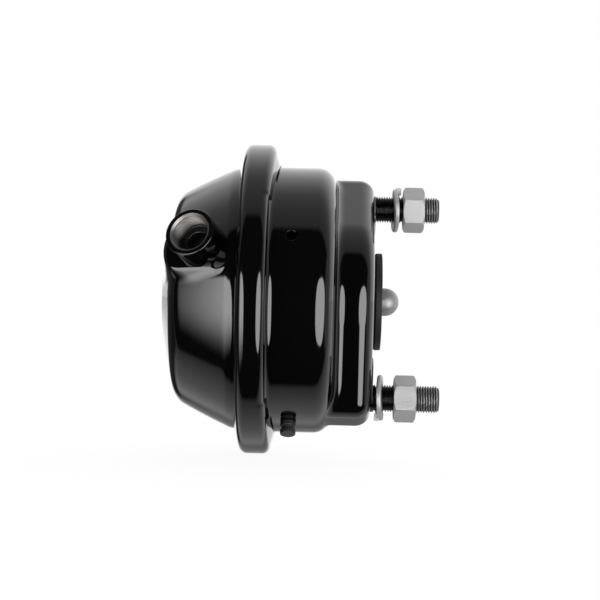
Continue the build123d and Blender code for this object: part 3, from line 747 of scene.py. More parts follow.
class Finishes:
    """Every finish on the object, made once."""

    def __init__(self, port: "PortBush", studs: dict[Side, "StudSet"]) -> None:
        """Makes the materials; the port's and the studs' follow the shape of those pieces."""
        self.paint = GlossPaint().make()
        self.zinc = Zinc().make()
        self.washer = Zinc("bright_washer", 0.48, 0.44).make()
        self.plain = TurnedSteel("pressed_steel", 0.36, 0.0, 0.36, (1.0, 1.0, 1.0)).make()
        self.ball = Zinc("ground_steel", 0.36, 0.48, 0.55).make()
        self.spring = GlossPaint("coated_spring", 0.012, 0.3, 0.00002, 1.5).make()
        self.seal = Rubber("seal_rubber", 0.014, 0.62).make()
        self.soft = Rubber("boot_rubber", 0.012, 0.55).make()
        self.plug = Rubber("plug_rubber", 0.010, 0.5).make()
        self.port = PortSteel(
            "port_steel", port.spindle, port.bare_radius, port.core, port.depth).make()
        self.studs = {
            side: StudSteel(f"{side.name.lower()}_stud_steel", one.nut_x + one.nut_height / 2,
                            one.centre, one.radius - one.thread_depth * 0.8,
                            one.radius - one.thread_depth * 0.15).make()
            for side, one in studs.items()}


def stand_in(piece: bpy.types.Object, material: bpy.types.Material,
             node: str) -> None:
    """Gives a piece its finish and lets it stand for a CAD node, whose own part is hidden."""
    piece.data.materials.append(material)
    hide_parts(node)
    LOG.info("%s: %d faces for %s", piece.name, len(piece.data.polygons), node)


def dress(piece: bpy.types.Object, material: bpy.types.Material, body: Body,
          node: str) -> None:
    """Finishes a piece that rides on one body.

    Args:
        piece: the object.
        material: its finish.
        body: the body it rides on.
        node: the CAD node that it replaces.
    """
    stand_in(piece, material, node)
    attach(piece, body.value)


@dataclass(frozen=True)
class Flanges:
    """What the two housings and the band share: the clamped flanges and the sheet's gauge."""

    wall: float = 3.0
    cup_radius: float = 79.3
    neck_radius: float = 78.0
    rim_radius: float = 87.8
    middle_x: float = -68.7
    bead: float = 6.6
    rim_edge: float = 0.6

    @property
    def offset(self) -> float:
        """Distance of a flange's outer side from the middle of the joint."""
        return self.bead / 2 + self.wall


@dataclass(frozen=True)
class MountingFace:
    """The raised cap: a round waist drawn tangent to a wide lobe at each stud."""

    stud_circle: float = 120.65 / 2
    roll: float = 20.5
    waist: float = 54.1
    lobe_reach: float = 14.9
    lobe_corner: float = 12.0
    lobe_half_width: float = 6.4

    def place(self, out: float, across: float, side: Side) -> Pair:
        """Place (y, z) out along the studs' line towards one of them, and across it."""
        turn = radians(self.roll)
        y = out * sin(turn) - across * cos(turn)
        z = out * cos(turn) + across * sin(turn)
        return side.value * y, side.value * z

    def stud(self, side: Side) -> Pair:
        """Place (y, z) of one of the studs."""
        return self.place(self.stud_circle, 0.0, side)

    def spindle(self, side: Side, start_x: float) -> Spindle:
        """Axis of one of the studs, from a place along the chamber's axis."""
        return Spindle(np.array([start_x, *self.stud(side)]), TOWARDS_ROD, UPWARDS)

    def outline(self) -> Outline:
        """The cap's outline at its foot."""
        out = self.stud_circle + self.lobe_reach - self.lobe_corner
        centres, radii = [], []
        for side in Side:
            for across in (-self.lobe_half_width, self.lobe_half_width):
                centres.append(self.place(out, across, side))
                radii.append(self.lobe_corner)
            centres.append((0.0, 0.0))
            radii.append(self.waist)
        return Outline(np.array(centres), np.array(radii))


@dataclass(frozen=True)
class Drain:
    """The ring of drain holes in the cup."""

    x: float = -48.6
    radius: float = 3.2
    first_angle: float = 27.0
    count: int = 4
    rim: float = 0.2
    window_cells: int = 12

    def angle(self, index: int) -> float:
        """Angle of a hole about the axis; the first is the open one."""
        return self.first_angle - index * 360.0 / self.count


@dataclass(frozen=True)
class MountingHousing:
    """The cup that bolts to the brake, pressed in one with its raised cap."""

    flanges: Flanges = Flanges()
    face: MountingFace = MountingFace()
    drain: Drain = Drain()
    flange_bend: float = 4.0
    shoulder_x: float = -23.6
    shoulder: float = 11.0
    foot: float = 6.0
    corner: float = 9.0
    pad_height: float = 0.8
    pad_radius: float = 24.0
    pad_gap: float = 0.7
    pad_edge: float = 0.3
    pad_foot: float = 0.4
    opening: float = 23.4
    opening_edge: float = 0.3
    stud_hole: float = 8.15
    stud_hole_edge: float = 0.2

    @property
    def seam(self) -> Pair:
        """Centre (x, r) of the shoulder's arc, which is also where the cup's end starts."""
        return self.shoulder_x - self.shoulder, self.flanges.cup_radius - self.shoulder

    def base(self, distance: Array, inset: float) -> tuple[Array, Array]:
        """The cup's end as (x, r) at a distance along it from the end of its cylinder.

        The line is a quarter circle round the seam, with the shoulder's radius less the inset,
        and then a flat that runs inwards.

        Args:
            distance: lengths along the line.
            inset: how far the line lies inside the outer surface.

        Returns:
            The places along the axis and the distances from it.
        """
        radius = self.shoulder - inset
        turn = np.minimum(distance / radius, pi / 2)
        beyond = distance - radius * turn
        seam_x, seam = self.seam
        return seam_x + radius * np.sin(turn), seam + radius * np.cos(turn) - beyond

    def fan(self, touch: Array, inset: float, places: Array, shares: Array) -> list[Array]:
        """Loops of the cup's end, spread between its seam and the feet of given places.

        Args:
            touch: how far along the end's line each place stands.
            inset: how far the line lies inside the outer surface.
            places: places (y, z), one for each of the grid's angles.
            shares: how far each loop goes from the seam to the places, from 0 to 1.

        Returns:
            The loops, each with one point for each angle.
        """
        angle = np.radians(AXIS_ANGLES)
        drift = np.angle(np.exp(1j * (np.arctan2(places[:, 1], -places[:, 0]) - angle)))
        loops = []
        for share in shares:
            x, radius = self.base(touch * share, inset)
            loops.append(polar(x, radius, np.degrees(angle + drift * share)))
        return loops

    def outer_loops(self, points: Array, normals: Array) -> list[Array]:
        """Loops of the outer skin from the cup's cylinder to the central opening.

        A ball of the foot's radius rolls between the cap's side, which stands on the outline,
        and the cup's end. Its centre lies one radius outside the outline, and above the flat
        by one radius, or above the shoulder by the sum of the two radii. The foot is the arc
        that it touches, and the loops of the cup's end are spread up to that arc.

        Args:
            points: the outline, as rows of (y, z).
            normals: its outward unit normals.

        Returns:
            The loops, each with one point for each angle.
        """
        seam_x, seam = self.seam
        ball = points + normals * self.foot
        ball_radius = np.linalg.norm(ball, axis=1)
        over = np.maximum(ball_radius - seam, 0.0)
        rise = np.sqrt(np.maximum((self.shoulder + self.foot) ** 2 - over ** 2, 0.0))
        ball_x = seam_x + rise
        touch = self.shoulder * np.arctan2(rise, over) + np.maximum(seam - ball_radius, 0.0)
        loops = self.fan(touch, 0.0, ball, np.linspace(0, 1, 34)[1:])
        centre = at_x(ball_x, ball)
        start = unit(loops[-1] - centre)
        end = at_x(0.0, -normals)
        spread = np.arccos(np.clip((start * end).sum(axis=1), -1, 1))[:, None]
        for share in np.linspace(0, 1, 12)[1:]:
            weight = np.sin(spread * (1 - share)) * start + np.sin(spread * share) * end
            loops.append(centre + self.foot * weight / np.sin(spread))
        top_x = -self.pad_height - self.corner
        for share in (0.05, 0.35, 0.65, 0.95):
            loops.append(at_x(ball_x + (top_x - ball_x) * share, points))
        for turn in np.linspace(0, pi / 2, 17):
            flat = points - normals * self.corner * (1 - cos(turn))
            loops.append(at_x(top_x + self.corner * sin(turn), flat))
        edge = points - normals * self.corner
        rim = unit(edge) * (self.opening + self.opening_edge)
        for share in (0.02, 0.25, 0.5, 0.75, 0.98, 1.0):
            loops.append(at_x(-self.pad_height, edge + (rim - edge) * share))
        return loops

    def inner_loops(self, points: Array, normals: Array) -> list[Array]:
        """Loops of the inner skin, from the central opening back to the cup's cylinder.

        The inner skin has no foot: the cap's side runs straight down to the cup's end.

        Args:
            points: the outer skin's outline, as rows of (y, z).
            normals: its outward unit normals.

        Returns:
            The loops, each with one point for each angle.
        """
        wall = self.flanges.wall
        face_x = -self.pad_height - wall
        inner_corner = self.corner - wall
        edge = points - normals * self.corner
        hole = unit(edge) * self.opening
        loops = [at_x(-self.pad_height - self.opening_edge, hole), at_x(face_x, hole)]
        for share in (0.03, 0.5, 0.97):
            loops.append(at_x(face_x, hole + (edge - hole) * share))
        for turn in np.linspace(pi / 2, 0, 7):
            flat = points - normals * (wall + inner_corner * (1 - cos(turn)))
            loops.append(at_x(face_x - inner_corner * (1 - sin(turn)), flat))
        side = points - normals * wall
        side_radius = np.linalg.norm(side, axis=1)
        seam = self.seam[1]
        small = self.shoulder - wall
        over = np.clip(side_radius - seam, 0.0, small)
        touch = small * np.arccos(over / small) + np.maximum(seam - side_radius, 0.0)
        foot_x = self.base(touch, wall)[0]
        top_x = face_x - inner_corner
        for share in (0.1, 0.5, 0.9):
            loops.append(at_x(top_x + (foot_x - top_x) * share, side))
        return loops + self.fan(touch, wall, side, np.linspace(1, 0, 14))

    def shell(self) -> tuple[Patch, list[Patch]]:
        """The housing's whole skin.

        A loop goes round the axis at each of the grid's angles. The loops run from the rim
        over the flange, the cylinder, the cup's end and the cap to the opening, and back
        inside. The drain holes are square windows in the grid, filled by patches of their own.

        Returns:
            The skin as one closed grid, and the patches that line the drain holes.
        """
        flanges, drain = self.flanges, self.drain
        front = flanges.middle_x + flanges.offset
        back = front - flanges.wall
        half = flanges.cup_radius * sin(radians(drain.window_cells * COLUMN_STEP / 2))
        window = np.linspace(drain.x - half, drain.x + half, drain.window_cells + 1)
        after = np.linspace(window[-1], self.seam[0], 4)[1:]
        line = np.concatenate([window, after])
        mid_rim = (flanges.rim_radius + flanges.cup_radius) / 2
        outer = rounded(
            [(back, mid_rim), (back, flanges.rim_radius), (front, flanges.rim_radius),
             (front, flanges.cup_radius), (window[0], flanges.cup_radius)],
            [flanges.rim_edge, flanges.rim_edge, self.flange_bend], 8)
        inner_radius = flanges.cup_radius - flanges.wall
        inner = rounded(
            [(window[0], inner_radius), (back, inner_radius), (back, mid_rim)],
            [self.flange_bend + flanges.wall], 8)
        directions = radians(180) - np.radians(AXIS_ANGLES)
        points, normals = self.face.outline().ring(directions)
        loops = [polar(x, radius, AXIS_ANGLES) for x, radius in outer[:-1]]
        first = len(loops)
        loops += [polar(x, flanges.cup_radius, AXIS_ANGLES) for x in line]
        loops += self.outer_loops(points, normals)
        loops += self.inner_loops(points, normals)[:-1]
        second = len(loops) + len(line) - drain.window_cells - 1
        loops += [polar(x, inner_radius, AXIS_ANGLES) for x in line[::-1]]
        loops += [polar(x, radius, AXIS_ANGLES) for x, radius in inner[1:-1]]
        skin = Patch(np.stack(loops, axis=1), True, True)
        skin.openings = skin.no_openings()
        linings = []
        for index in range(drain.count):
            angle = drain.angle(index)
            start = int(round((angle + 180) / COLUMN_STEP)) - drain.window_cells // 2
            rows = np.arange(start, start + drain.window_cells) % len(AXIS_ANGLES)
            for column in (first, second):
                skin.openings[rows, column:column + drain.window_cells] = True
            linings.append(self.drain_lining(angle, window))
        return skin, linings

    def drain_lining(self, angle: float, window: Array) -> Patch:
        """Skin round one drain hole, from a square window outside, through it, to one inside.

        Each ring lies on a cylinder about the axis. Its points go from the hole's circle to
        the window's edge in x and in the sideways distance w, and a point's angle about the
        axis is the hole's angle plus arcsin(w / r).

        Args:
            angle: the hole's angle about the axis.
            window: the places of the grid's lines across the window.

        Returns:
            The patch, whose first and last ring fall on the grid's own points.
        """
        drain, cells = self.drain, self.drain.window_cells
        ramp = np.arange(cells) / cells * 2 - 1
        flat = np.ones(cells)
        corner_x = np.concatenate([ramp, flat, -ramp, -flat])
        corner_a = np.concatenate([-flat, ramp, flat, -ramp])
        half_x = (window[-1] - window[0]) / 2
        half_a = radians(cells * COLUMN_STEP / 2)
        outer = self.flanges.cup_radius
        inner = outer - self.flanges.wall
        rings = []
        facing = np.arctan2(outer * np.sin(corner_a * half_a), corner_x * half_x)
        for radius, shares in ((outer, (1, 0.75, 0.52, 0.34, 0.2, 0.09, 0)), (inner, (0, 0.3, 1))):
            edge_x = corner_x * half_x
            edge_w = radius * np.sin(corner_a * half_a)
            bore = drain.radius + (drain.rim if radius == outer else 0.0)
            for share in shares:
                x = bore * np.cos(facing) * (1 - share) + edge_x * share
                w = bore * np.sin(facing) * (1 - share) + edge_w * share
                rings.append((x, w, radius))
            if radius == outer:
                for turn in np.linspace(0, pi / 2, 5)[1:]:
                    size = drain.radius + drain.rim * (1 - sin(turn))
                    level = outer - drain.rim * (1 - cos(turn))
                    rings.append((size * np.cos(facing), size * np.sin(facing), level))
        columns = [polar(drain.x + x, radius, angle + np.degrees(np.arcsin(w / radius)))
                   for x, w, radius in rings]
        return Patch(np.stack(columns, axis=1), True)

    def seat_pad(self, side: Side) -> Patch:
        """Raised pad round a stud: a disc cut short by the cap's own rounded edge.

        In each direction from the stud, the pad reaches its radius or the outline, inset by
        the corner and a gap, whichever is nearer.

        Args:
            side: which stud.

        Returns:
            A closed ring from the hole over the pad's face, down its edge and back beneath.
        """
        centre = self.face.stud(side)
        directions = np.radians(np.arange(0, 360, 2.5))
        points, normals = self.face.outline().ring(directions, centre)
        offset = points - normals * (self.corner + self.pad_gap) - np.array(centre)
        limit = np.full(len(points), self.pad_radius)
        reach = smooth_min(np.linalg.norm(offset, axis=1), limit, 1.0)
        low = -self.pad_height - self.pad_foot
        hole, edge = self.stud_hole, self.stud_hole_edge
        line = [(hole, low), (hole, -edge), (hole + edge, 0.0),
                (hole + (reach - hole) * 0.5, 0.0), (reach - 2 * self.pad_edge, 0.0)]
        line += [(reach - self.pad_edge * (1 - cos(turn)), -self.pad_edge * (1 - sin(turn)))
                 for turn in np.linspace(pi / 2, 0, 5)]
        line.append((reach, low))
        facing = unit(offset)
        loops = [at_x(x, np.array(centre) + facing * np.reshape(radius, (-1, 1)))
                 for radius, x in line]
        return Patch(np.stack(loops, axis=1), True, True)

    def build(self, finishes: Finishes) -> None:
        """Makes the housing with its pads and stands it in for the CAD node."""
        skin, linings = self.shell()
        pads = [self.seat_pad(side) for side in Side]
        piece = weld("mounting_housing", [skin, *linings, *pads])
        dress(piece, finishes.paint, Body.CHAMBER, "non_pressure_housing")


@dataclass(frozen=True)
class PortBush:
    """Threaded bush for the air line, set square on the housing's land."""

    angle: float = 25.0
    tilt: float = 17.5
    mouth_x: float = -105.0
    mouth_radius: float = 86.0
    radius: float = 14.2
    height: float = 14.0
    sunk: float = 4.6
    edge: float = 0.6
    lip: float = 1.3
    runout: float = 0.6
    count: int = 144
    core: float = 10.25
    groove: float = 0.75
    pitch: float = 1.5
    depth: float = 13.0
    passage: float = 6.0
    spigot: float = 11.2
    wall: float = 3.0
    bare_radius: float = 11.7

    @property
    def spindle(self) -> Spindle:
        """The port's axis, from the middle of its mouth outwards."""
        turn, lean = radians(self.angle), radians(self.tilt)
        along = np.array([-sin(lean), -cos(lean) * cos(turn), cos(lean) * sin(turn)])
        origin = polar(self.mouth_x, self.mouth_radius, self.angle)
        return Spindle(origin, along, unit(np.cross(along, TOWARDS_ROD)))

    def thread(self) -> Array:
        """Wall of the threaded bore as a grid of angles by depths.

        The radius is the core radius plus the groove's depth times the thread's wave, whose
        turns are depth / pitch - angle / 360. The groove fades in at the lip and out at the
        bottom.

        Returns:
            The points.
        """
        angles = np.arange(self.count) * 360.0 / self.count
        depths = np.linspace(self.lip, self.depth - self.runout, 78)
        wave = thread_wave(depths[None, :] / self.pitch - angles[:, None] / 360.0, 1.6, 0.3)
        fade = smooth_step(self.lip, self.lip + 1.2, depths) * smooth_step(
            self.depth - 0.7, self.depth - 2.2, depths)
        radius = self.core + self.groove * wave * fade
        return self.spindle.place(-depths[None, :], radius, angles[:, None])

    def build(self, finishes: Finishes) -> None:
        """Makes the bush as one closed skin and stands it in for the CAD node."""
        mouth = self.core + self.lip
        bottom, tail = -self.height - self.sunk, -self.height - self.wall
        outside = rounded(
            [(tail, self.passage), (tail, self.spigot), (bottom, self.spigot),
             (bottom, self.radius), (0, self.radius), (0, mouth), (-self.lip, self.core)],
            [0.2, 0.1, 0.3, self.edge, 0.25], 4, 3)
        inside = rounded(
            [(-self.depth + self.runout, self.core), (-self.depth, self.core),
             (-self.depth, self.passage), (tail, self.passage)], [0.3, 0.3], 4, 3)
        grid = np.concatenate([
            self.spindle.turned(outside[:-1], self.count).points, self.thread(),
            self.spindle.turned(inside[1:-1], self.count).points], axis=1)
        piece = weld("port_socket", [Patch(grid, True, True)], 32.0)
        dress(piece, finishes.port, Body.CHAMBER, "port_bush")


@dataclass(frozen=True)
class PressureHousing:
    """The dished half, with a raised land that carries the port."""

    flanges: Flanges = Flanges()
    port: PortBush = PortBush()
    end_x: float = -124.6
    end_flat: float = 26.0
    end_slope: float = 12.4
    side_slope: float = 26.3
    side_rise: float = 16.9
    side_bulge: float = 0.6
    bulge_foot: float = 9.0
    end_corner: float = 12.0
    neck_bend: float = 12.0
    flange_bend: float = 2.5
    land_radius: float = 22.0
    land_flank: float = 20.0
    land_edge: float = 2.6
    land_foot: float = 1.4
    land_end: float = 1.8
    land_drop: float = 2.0
    facets: tuple[tuple[float, float, float], ...] = (
        (-87.0, 14.6, 38.0), (-100.0, 17.6, 52.0), (90.0, 11.6, 28.0))
    facet_edge: float = 1.2
    land_lift: float = 7.0
    land_tail: Pair = (15.0, 4.0)
    hole: float = 11.3
    window_start: float = 34.0
    window_end: float = -79.4
    window_angles: Pair = (-8.25, 57.75)
    rings: int = 64

    def line(self) -> tuple[list[Pair], list[float]]:
        """Corners and radii of the outer line, from the axis to the flange's rim."""
        flanges = self.flanges
        cone = flanges.neck_radius - self.side_rise
        corner_x = self.end_x + (cone - self.end_flat) * tan(radians(self.end_slope))
        neck_x = corner_x + self.side_rise / tan(radians(self.side_slope))
        flange_x = flanges.middle_x - flanges.offset
        points = [(self.end_x, 0.0), (self.end_x, self.end_flat), (corner_x, cone),
                  (neck_x, flanges.neck_radius), (flange_x, flanges.neck_radius),
                  (flange_x, flanges.rim_radius)]
        return points, [self.end_corner, self.end_corner, self.neck_bend, self.flange_bend]

    @property
    def centre(self) -> Array:
        """Where the port's axis crosses the chamber's axis; the skin is seen from here."""
        spindle = self.port.spindle
        return spindle.origin - spindle.along * (hypot(*spindle.origin[1:]) / cos(
            radians(self.port.tilt)))

    @property
    def mouth_distance(self) -> float:
        """Distance of the port's mouth from the centre."""
        return float(np.linalg.norm(self.port.spindle.origin - self.centre))

    def top(self, inset: float) -> float:
        """Distance of the land's flat top from the centre."""
        return self.mouth_distance - self.port.height - self.land_drop - inset

    def swell(self, points: Array, inset: float) -> Array:
        """Lets the land swell out of a turned skin.

        Seen from the centre, the skin has a distance in each direction, and the land a
        distance of its own: that of its flat top, d / cos e, or of its cone, which is
        (r + d tan f) / (sin e + cos e tan f), whichever is nearer. Here e is the angle from
        the port's axis, d the top's distance, r its radius and f the flank's slope. Flat
        facets below the bush and above it cut the land further: each starts at its own
        distance from the port's axis and leans away from the top. A plane just short of the
        housing's end cuts it too, and towards the flange its height over the turned skin
        fades out. The skin takes the farther of land and turned skin, with a fillet.

        Args:
            points: points of the turned skin.
            inset: how far the skin lies inside the outer one.

        Returns:
            The moved points.
        """
        offset = points - self.centre
        distance = np.linalg.norm(offset, axis=-1)
        facing = offset / distance[..., None]
        away = facing @ self.port.spindle.along
        top = self.top(inset)
        flank = tan(radians(self.land_flank))
        radius = self.land_radius - inset * (1 / cos(radians(self.land_flank)) - flank)
        ahead = np.maximum(away, 0.2)
        sideways = np.sqrt(np.maximum(1 - ahead ** 2, 0.0))
        cone = (radius + top * flank) / (sideways + ahead * flank)
        land = smooth_min(top / ahead, cone, self.land_edge)
        spindle = self.port.spindle
        right = np.cross(spindle.rise, spindle.along)
        for turn, start, slope in self.facets:
            lean = radians(slope)
            height = top * cos(lean) + (start - inset * tan(lean / 2)) * sin(lean)
            outwards = cos(radians(turn)) * right + sin(radians(turn)) * spindle.rise
            facing_it = ahead * cos(lean) + (facing @ outwards) * sin(lean)
            land = smooth_min(land, height / np.maximum(facing_it, 0.2), self.facet_edge)
        reach_left = self.centre[0] - self.end_x - self.land_end - inset
        land = smooth_min(land, reach_left / np.maximum(-facing[..., 0], 0.1), self.facet_edge)
        tail = (facing @ right) / ahead * self.mouth_distance
        lift = self.land_lift * smooth_step(*self.land_tail, tail)
        land = smooth_min(land, distance + lift, self.facet_edge)
        reach = np.where(away > 0.2, smooth_max(distance, land, self.land_foot), distance)
        return self.centre + facing * reach[..., None]

    def bulged(self, line: Array) -> Array:
        """Swells the side cone's line a little, as the pressing has it.

        Between the end corner and the neck the radius grows by the bulge times 4 s (1 - s),
        where s is the share of the way along the axis.
        """
        corner, neck = self.line()[0][2:4]
        share = np.clip((line[:, 0] - corner[0]) / (neck[0] - corner[0]), 0.0, 1.0)
        beside = line[:, 1] > corner[1] - self.bulge_foot
        grown = line.copy()
        grown[:, 1] += self.side_bulge * 4.0 * share * (1.0 - share) * beside
        return grown

    def turned_at(self, facing: Array, inset: float) -> Array:
        """Points of the turned skin in given directions from the centre.

        The skin's line is sampled closely and looked up by its angle from the axis.

        Args:
            facing: unit directions.
            inset: how far the skin lies inside the outer one.

        Returns:
            The points.
        """
        points, radii = self.line()
        if inset:
            points, radii = parallel(points, inset), parallel_radii(points, radii, inset)
        line = self.bulged(rounded(points, radii, 240, 400))
        offset = line - np.array([self.centre[0], 0.0])
        seen = np.arctan2(offset[:, 1], -offset[:, 0])
        within = line[:, 0] < self.window_end + 2.0
        wanted = np.arccos(np.clip(-facing[..., 0], -1, 1))
        reach = np.interp(wanted, seen[within], np.hypot(*offset[within].T))
        return self.centre + facing * reach[..., None]

    def skins(self) -> tuple[Patch, Patch]:
        """The whole skin of the housing.

        Returns:
            The turned skin, outside and inside, with a window cut into each, and the patch
            that fills both windows: the land and the hole through it.
        """
        points, radii = self.line()
        wall = self.flanges.wall
        outer = self.bulged(rounded(points, radii, 8, 5))
        inner = rounded(parallel(points, wall), parallel_radii(points, radii, wall), 8, 5)
        inner = self.bulged(inner)
        angles = AXIS_ANGLES[:, None]
        outside = self.swell(polar(outer[None, :, 0], outer[None, :, 1], angles), 0.0)
        inside = self.swell(polar(inner[None, :, 0], inner[None, :, 1], angles), wall)
        skin = Patch(np.concatenate([outside, inside[:, ::-1]], axis=1), True)
        skin.openings = skin.no_openings()
        start = int(np.argmax(outer[:, 1] > self.window_start))
        end = int(np.argmax((outer[:, 0] > self.window_end) & (outer[:, 1] > self.window_start)))
        low, high = (int(round((a + 180) / COLUMN_STEP)) for a in self.window_angles)
        columns = len(outer)
        mirrored = 2 * columns - 1
        skin.openings[low:high, start:end] = True
        skin.openings[low:high, mirrored - end:mirrored - start] = True
        along, about = end - start, high - low
        row = np.r_[[low] * along, low:high, [high] * along, high:low:-1]
        column = np.r_[start:end, [end] * about, end:start:-1, [start] * about]
        land = self.land_rings(outside[row, column], 0.0)
        land += self.land_rings(inside[row, column], wall)[::-1]
        return skin, Patch(np.stack(land, axis=1), True)

    def land_rings(self, edge: Array, inset: float) -> list[Array]:
        """Rings from the window's edge to the hole under the port.

        A ring's directions from the centre go from those of the edge to those of the hole's
        circle, matched by their angle about the port's axis.

        Args:
            edge: points of the window's edge, in order.
            inset: how far the skin lies inside the outer one.

        Returns:
            The rings, the first one being the edge itself.
        """
        spindle = self.port.spindle
        offset = edge - self.centre
        facing = unit(offset)
        about = np.arctan2(facing @ spindle.upright, facing @ spindle.across)
        circle = (self.top(inset) * spindle.along + self.hole * (
            np.cos(about)[:, None] * spindle.across + np.sin(about)[:, None] * spindle.upright))
        goal = unit(circle)
        rings = [edge]
        for share in np.linspace(0, 1, self.rings)[1:-1]:
            directions = unit(facing + (goal - facing) * share)
            rings.append(self.swell(self.turned_at(directions, inset), inset))
        rings.append(self.centre + circle)
        return rings

    def build(self, finishes: Finishes) -> None:
        """Makes the housing and stands it in for the CAD node."""
        piece = weld("dished_housing", self.skins())
        dress(piece, finishes.paint, Body.CHAMBER, "pressure_housing")


@dataclass(frozen=True)
class ClampBand:
    """The band that holds the flanges, with skirts that are shorter in its hinge zone."""

    flanges: Flanges = Flanges()
    crown_rise: float = 4.7
    wall: float = 3.0
    skirt_slope: float = 15.0
    shoulder: float = 5.0
    fit: float = 0.2
    lip_gap: float = 0.5
    lip_edge: float = 0.8
    hinge_half: float = 40.5
    hinge_end: float = 72.0
    hinge_share: float = 0.7
    hinge_radius: float = 86.1
    hinge_blend: float = 1.6
    hinge_slope: float = 3.0
    hinge_shift: float = 1.5
    end_gap: float = 9.0
    rows_in_gap: int = 5
    ear_thickness: float = 4.0
    ear_width: float = 21.0
    ear_top: float = 113.0
    ear_corner: float = 6.0
    ear_foot: float = 0.6
    bolt_circle: float = 103.0
    bolt_hole: float = 4.2
    ear_edge: float = 0.5

    @property
    def crown(self) -> float:
        """Radius of the band's outside."""
        return self.flanges.rim_radius + self.crown_rise

    def section(self, trimmed: bool) -> Array:
        """The band's closed section, with full skirts or with those of the hinge zone."""
        flanges = self.flanges
        slope = tan(radians(self.skirt_slope))
        lean = self.wall / cos(radians(self.skirt_slope))
        half = flanges.offset + self.fit + lean - self.crown_rise * slope
        rise = self.lip_gap + self.wall * sin(radians(self.skirt_slope))
        lips = [radius + rise for radius in (flanges.neck_radius, flanges.cup_radius)]
        middle, crown = flanges.middle_x, self.crown
        right, lean_right = middle + half, slope
        if trimmed:
            lips = [self.hinge_radius] * 2
            right, lean_right = right - self.hinge_shift, tan(radians(self.hinge_slope))
        outer = [(middle - half - (crown - lips[0]) * slope, lips[0]), (middle - half, crown),
                 (right, crown), (right + (crown - lips[1]) * lean_right, lips[1])]
        inner = parallel(outer, self.wall)
        edge, small = self.lip_edge, max(self.shoulder - self.wall, 0.5)
        points = np.vstack([outer, inner[::-1]])
        radii = [edge, self.shoulder, self.shoulder, edge, edge, small, small, edge]
        return rounded(points, radii, 8, 3, closed=True)

    def strip(self) -> Patch:
        """The band: a section that changes in the hinge zone, cut square across its gap.

        From its full width the section narrows evenly towards the hinge zone and takes the
        rest in one short step, which leaves a small nib on each lip.

        A point's angle stops where its height above the middle of the gap is half the gap, at
        180 degrees less arcsin(gap / 2 r).

        Returns:
            The patch, with its two ends closed.
        """
        full, short = self.section(False), self.section(True)
        angles = np.concatenate([AXIS_ANGLES, [180.0]])
        away = np.abs(angles)
        ramp = np.clip((self.hinge_end - away) / (self.hinge_end - self.hinge_half), 0.0, 1.0)
        nib = smooth_step(self.hinge_half + self.hinge_blend / 2,
                          self.hinge_half - self.hinge_blend / 2, away)
        trim = ramp * self.hinge_share + nib * (1.0 - self.hinge_share)
        section = full[None] + (short - full)[None] * trim[:, None, None]
        stop = 180.0 - np.degrees(np.arcsin(self.end_gap / 2 / section[..., 1]))
        turn = np.clip(angles[:, None] * np.ones(len(full)), -stop, stop)
        grid = polar(section[..., 0], section[..., 1], turn)
        grid = grid[self.rows_in_gap:-self.rows_in_gap]
        grid = np.concatenate([self.end_loop(full, -1)[::-1], grid, self.end_loop(full, 1)])
        return Patch(grid, False, True)

    def end_loop(self, section: Array, sign: int) -> Array:
        """Loops that close one end of the band: the section at the gap, shrunk to a line."""
        outer, inner = section[: len(section) // 2], section[len(section) // 2:][::-1]
        spine = (outer + inner) / 2
        middle = np.vstack([spine, spine[::-1]])
        loops = []
        for share in (0.0, 0.3, 1.0):
            line = section + (middle - section) * share
            angle = sign * (180.0 - np.degrees(np.arcsin(self.end_gap / 2 / line[:, 1])))
            loops.append(polar(line[:, 0], line[:, 1], angle))
        return np.stack(loops)

    def ear(self, sign: int) -> Patch:
        """One of the two ears: a plate with round upper corners and a hole for the bolt."""
        half = self.ear_width / 2
        corner, foot = self.ear_corner, self.ear_foot
        low = self.crown - self.wall + foot
        centres = np.array([
            (half - foot, low + foot), (half - corner, self.ear_top - corner),
            (-half + corner, self.ear_top - corner), (-half + foot, low + foot)])
        outline = Outline(centres, np.array([foot, corner, corner, foot]))
        middle = np.array([0.0, self.bolt_circle])
        points, normals = outline.ring(np.radians(np.arange(0, 360, 3.0)), middle)
        points = points - middle
        hole = unit(points) * self.bolt_hole
        edge, low, high = self.ear_edge, self.end_gap / 2, self.end_gap / 2 + self.ear_thickness
        bevel = [(points - normals * edge * (1 - sin(turn)), edge * (1 - cos(turn)))
                 for turn in np.linspace(0, pi / 2, 5)]
        flat = bevel[0][0]
        loops = [(plane, low + level) for plane, level in bevel]
        loops += [(plane, high - level) for plane, level in bevel[::-1]]
        loops += [(flat + (hole - flat) * share, high) for share in (0.05, 0.5, 0.95, 1.0)]
        loops += [(flat + (hole - flat) * share, low) for share in (1.0, 0.95, 0.5, 0.05)]
        foot = np.array([self.flanges.middle_x, self.bolt_circle])
        columns = [np.column_stack([plane + foot, np.full(len(plane), sign * height)])
                   for plane, height in loops]
        return Patch(np.stack(columns, axis=1), True, True)

    def build(self, finishes: Finishes) -> None:
        """Makes the band with its ears and stands it in for the CAD node."""
        piece = weld("band", [self.strip(), self.ear(1), self.ear(-1)])
        dress(piece, finishes.paint, Body.CHAMBER, "clamp_band")


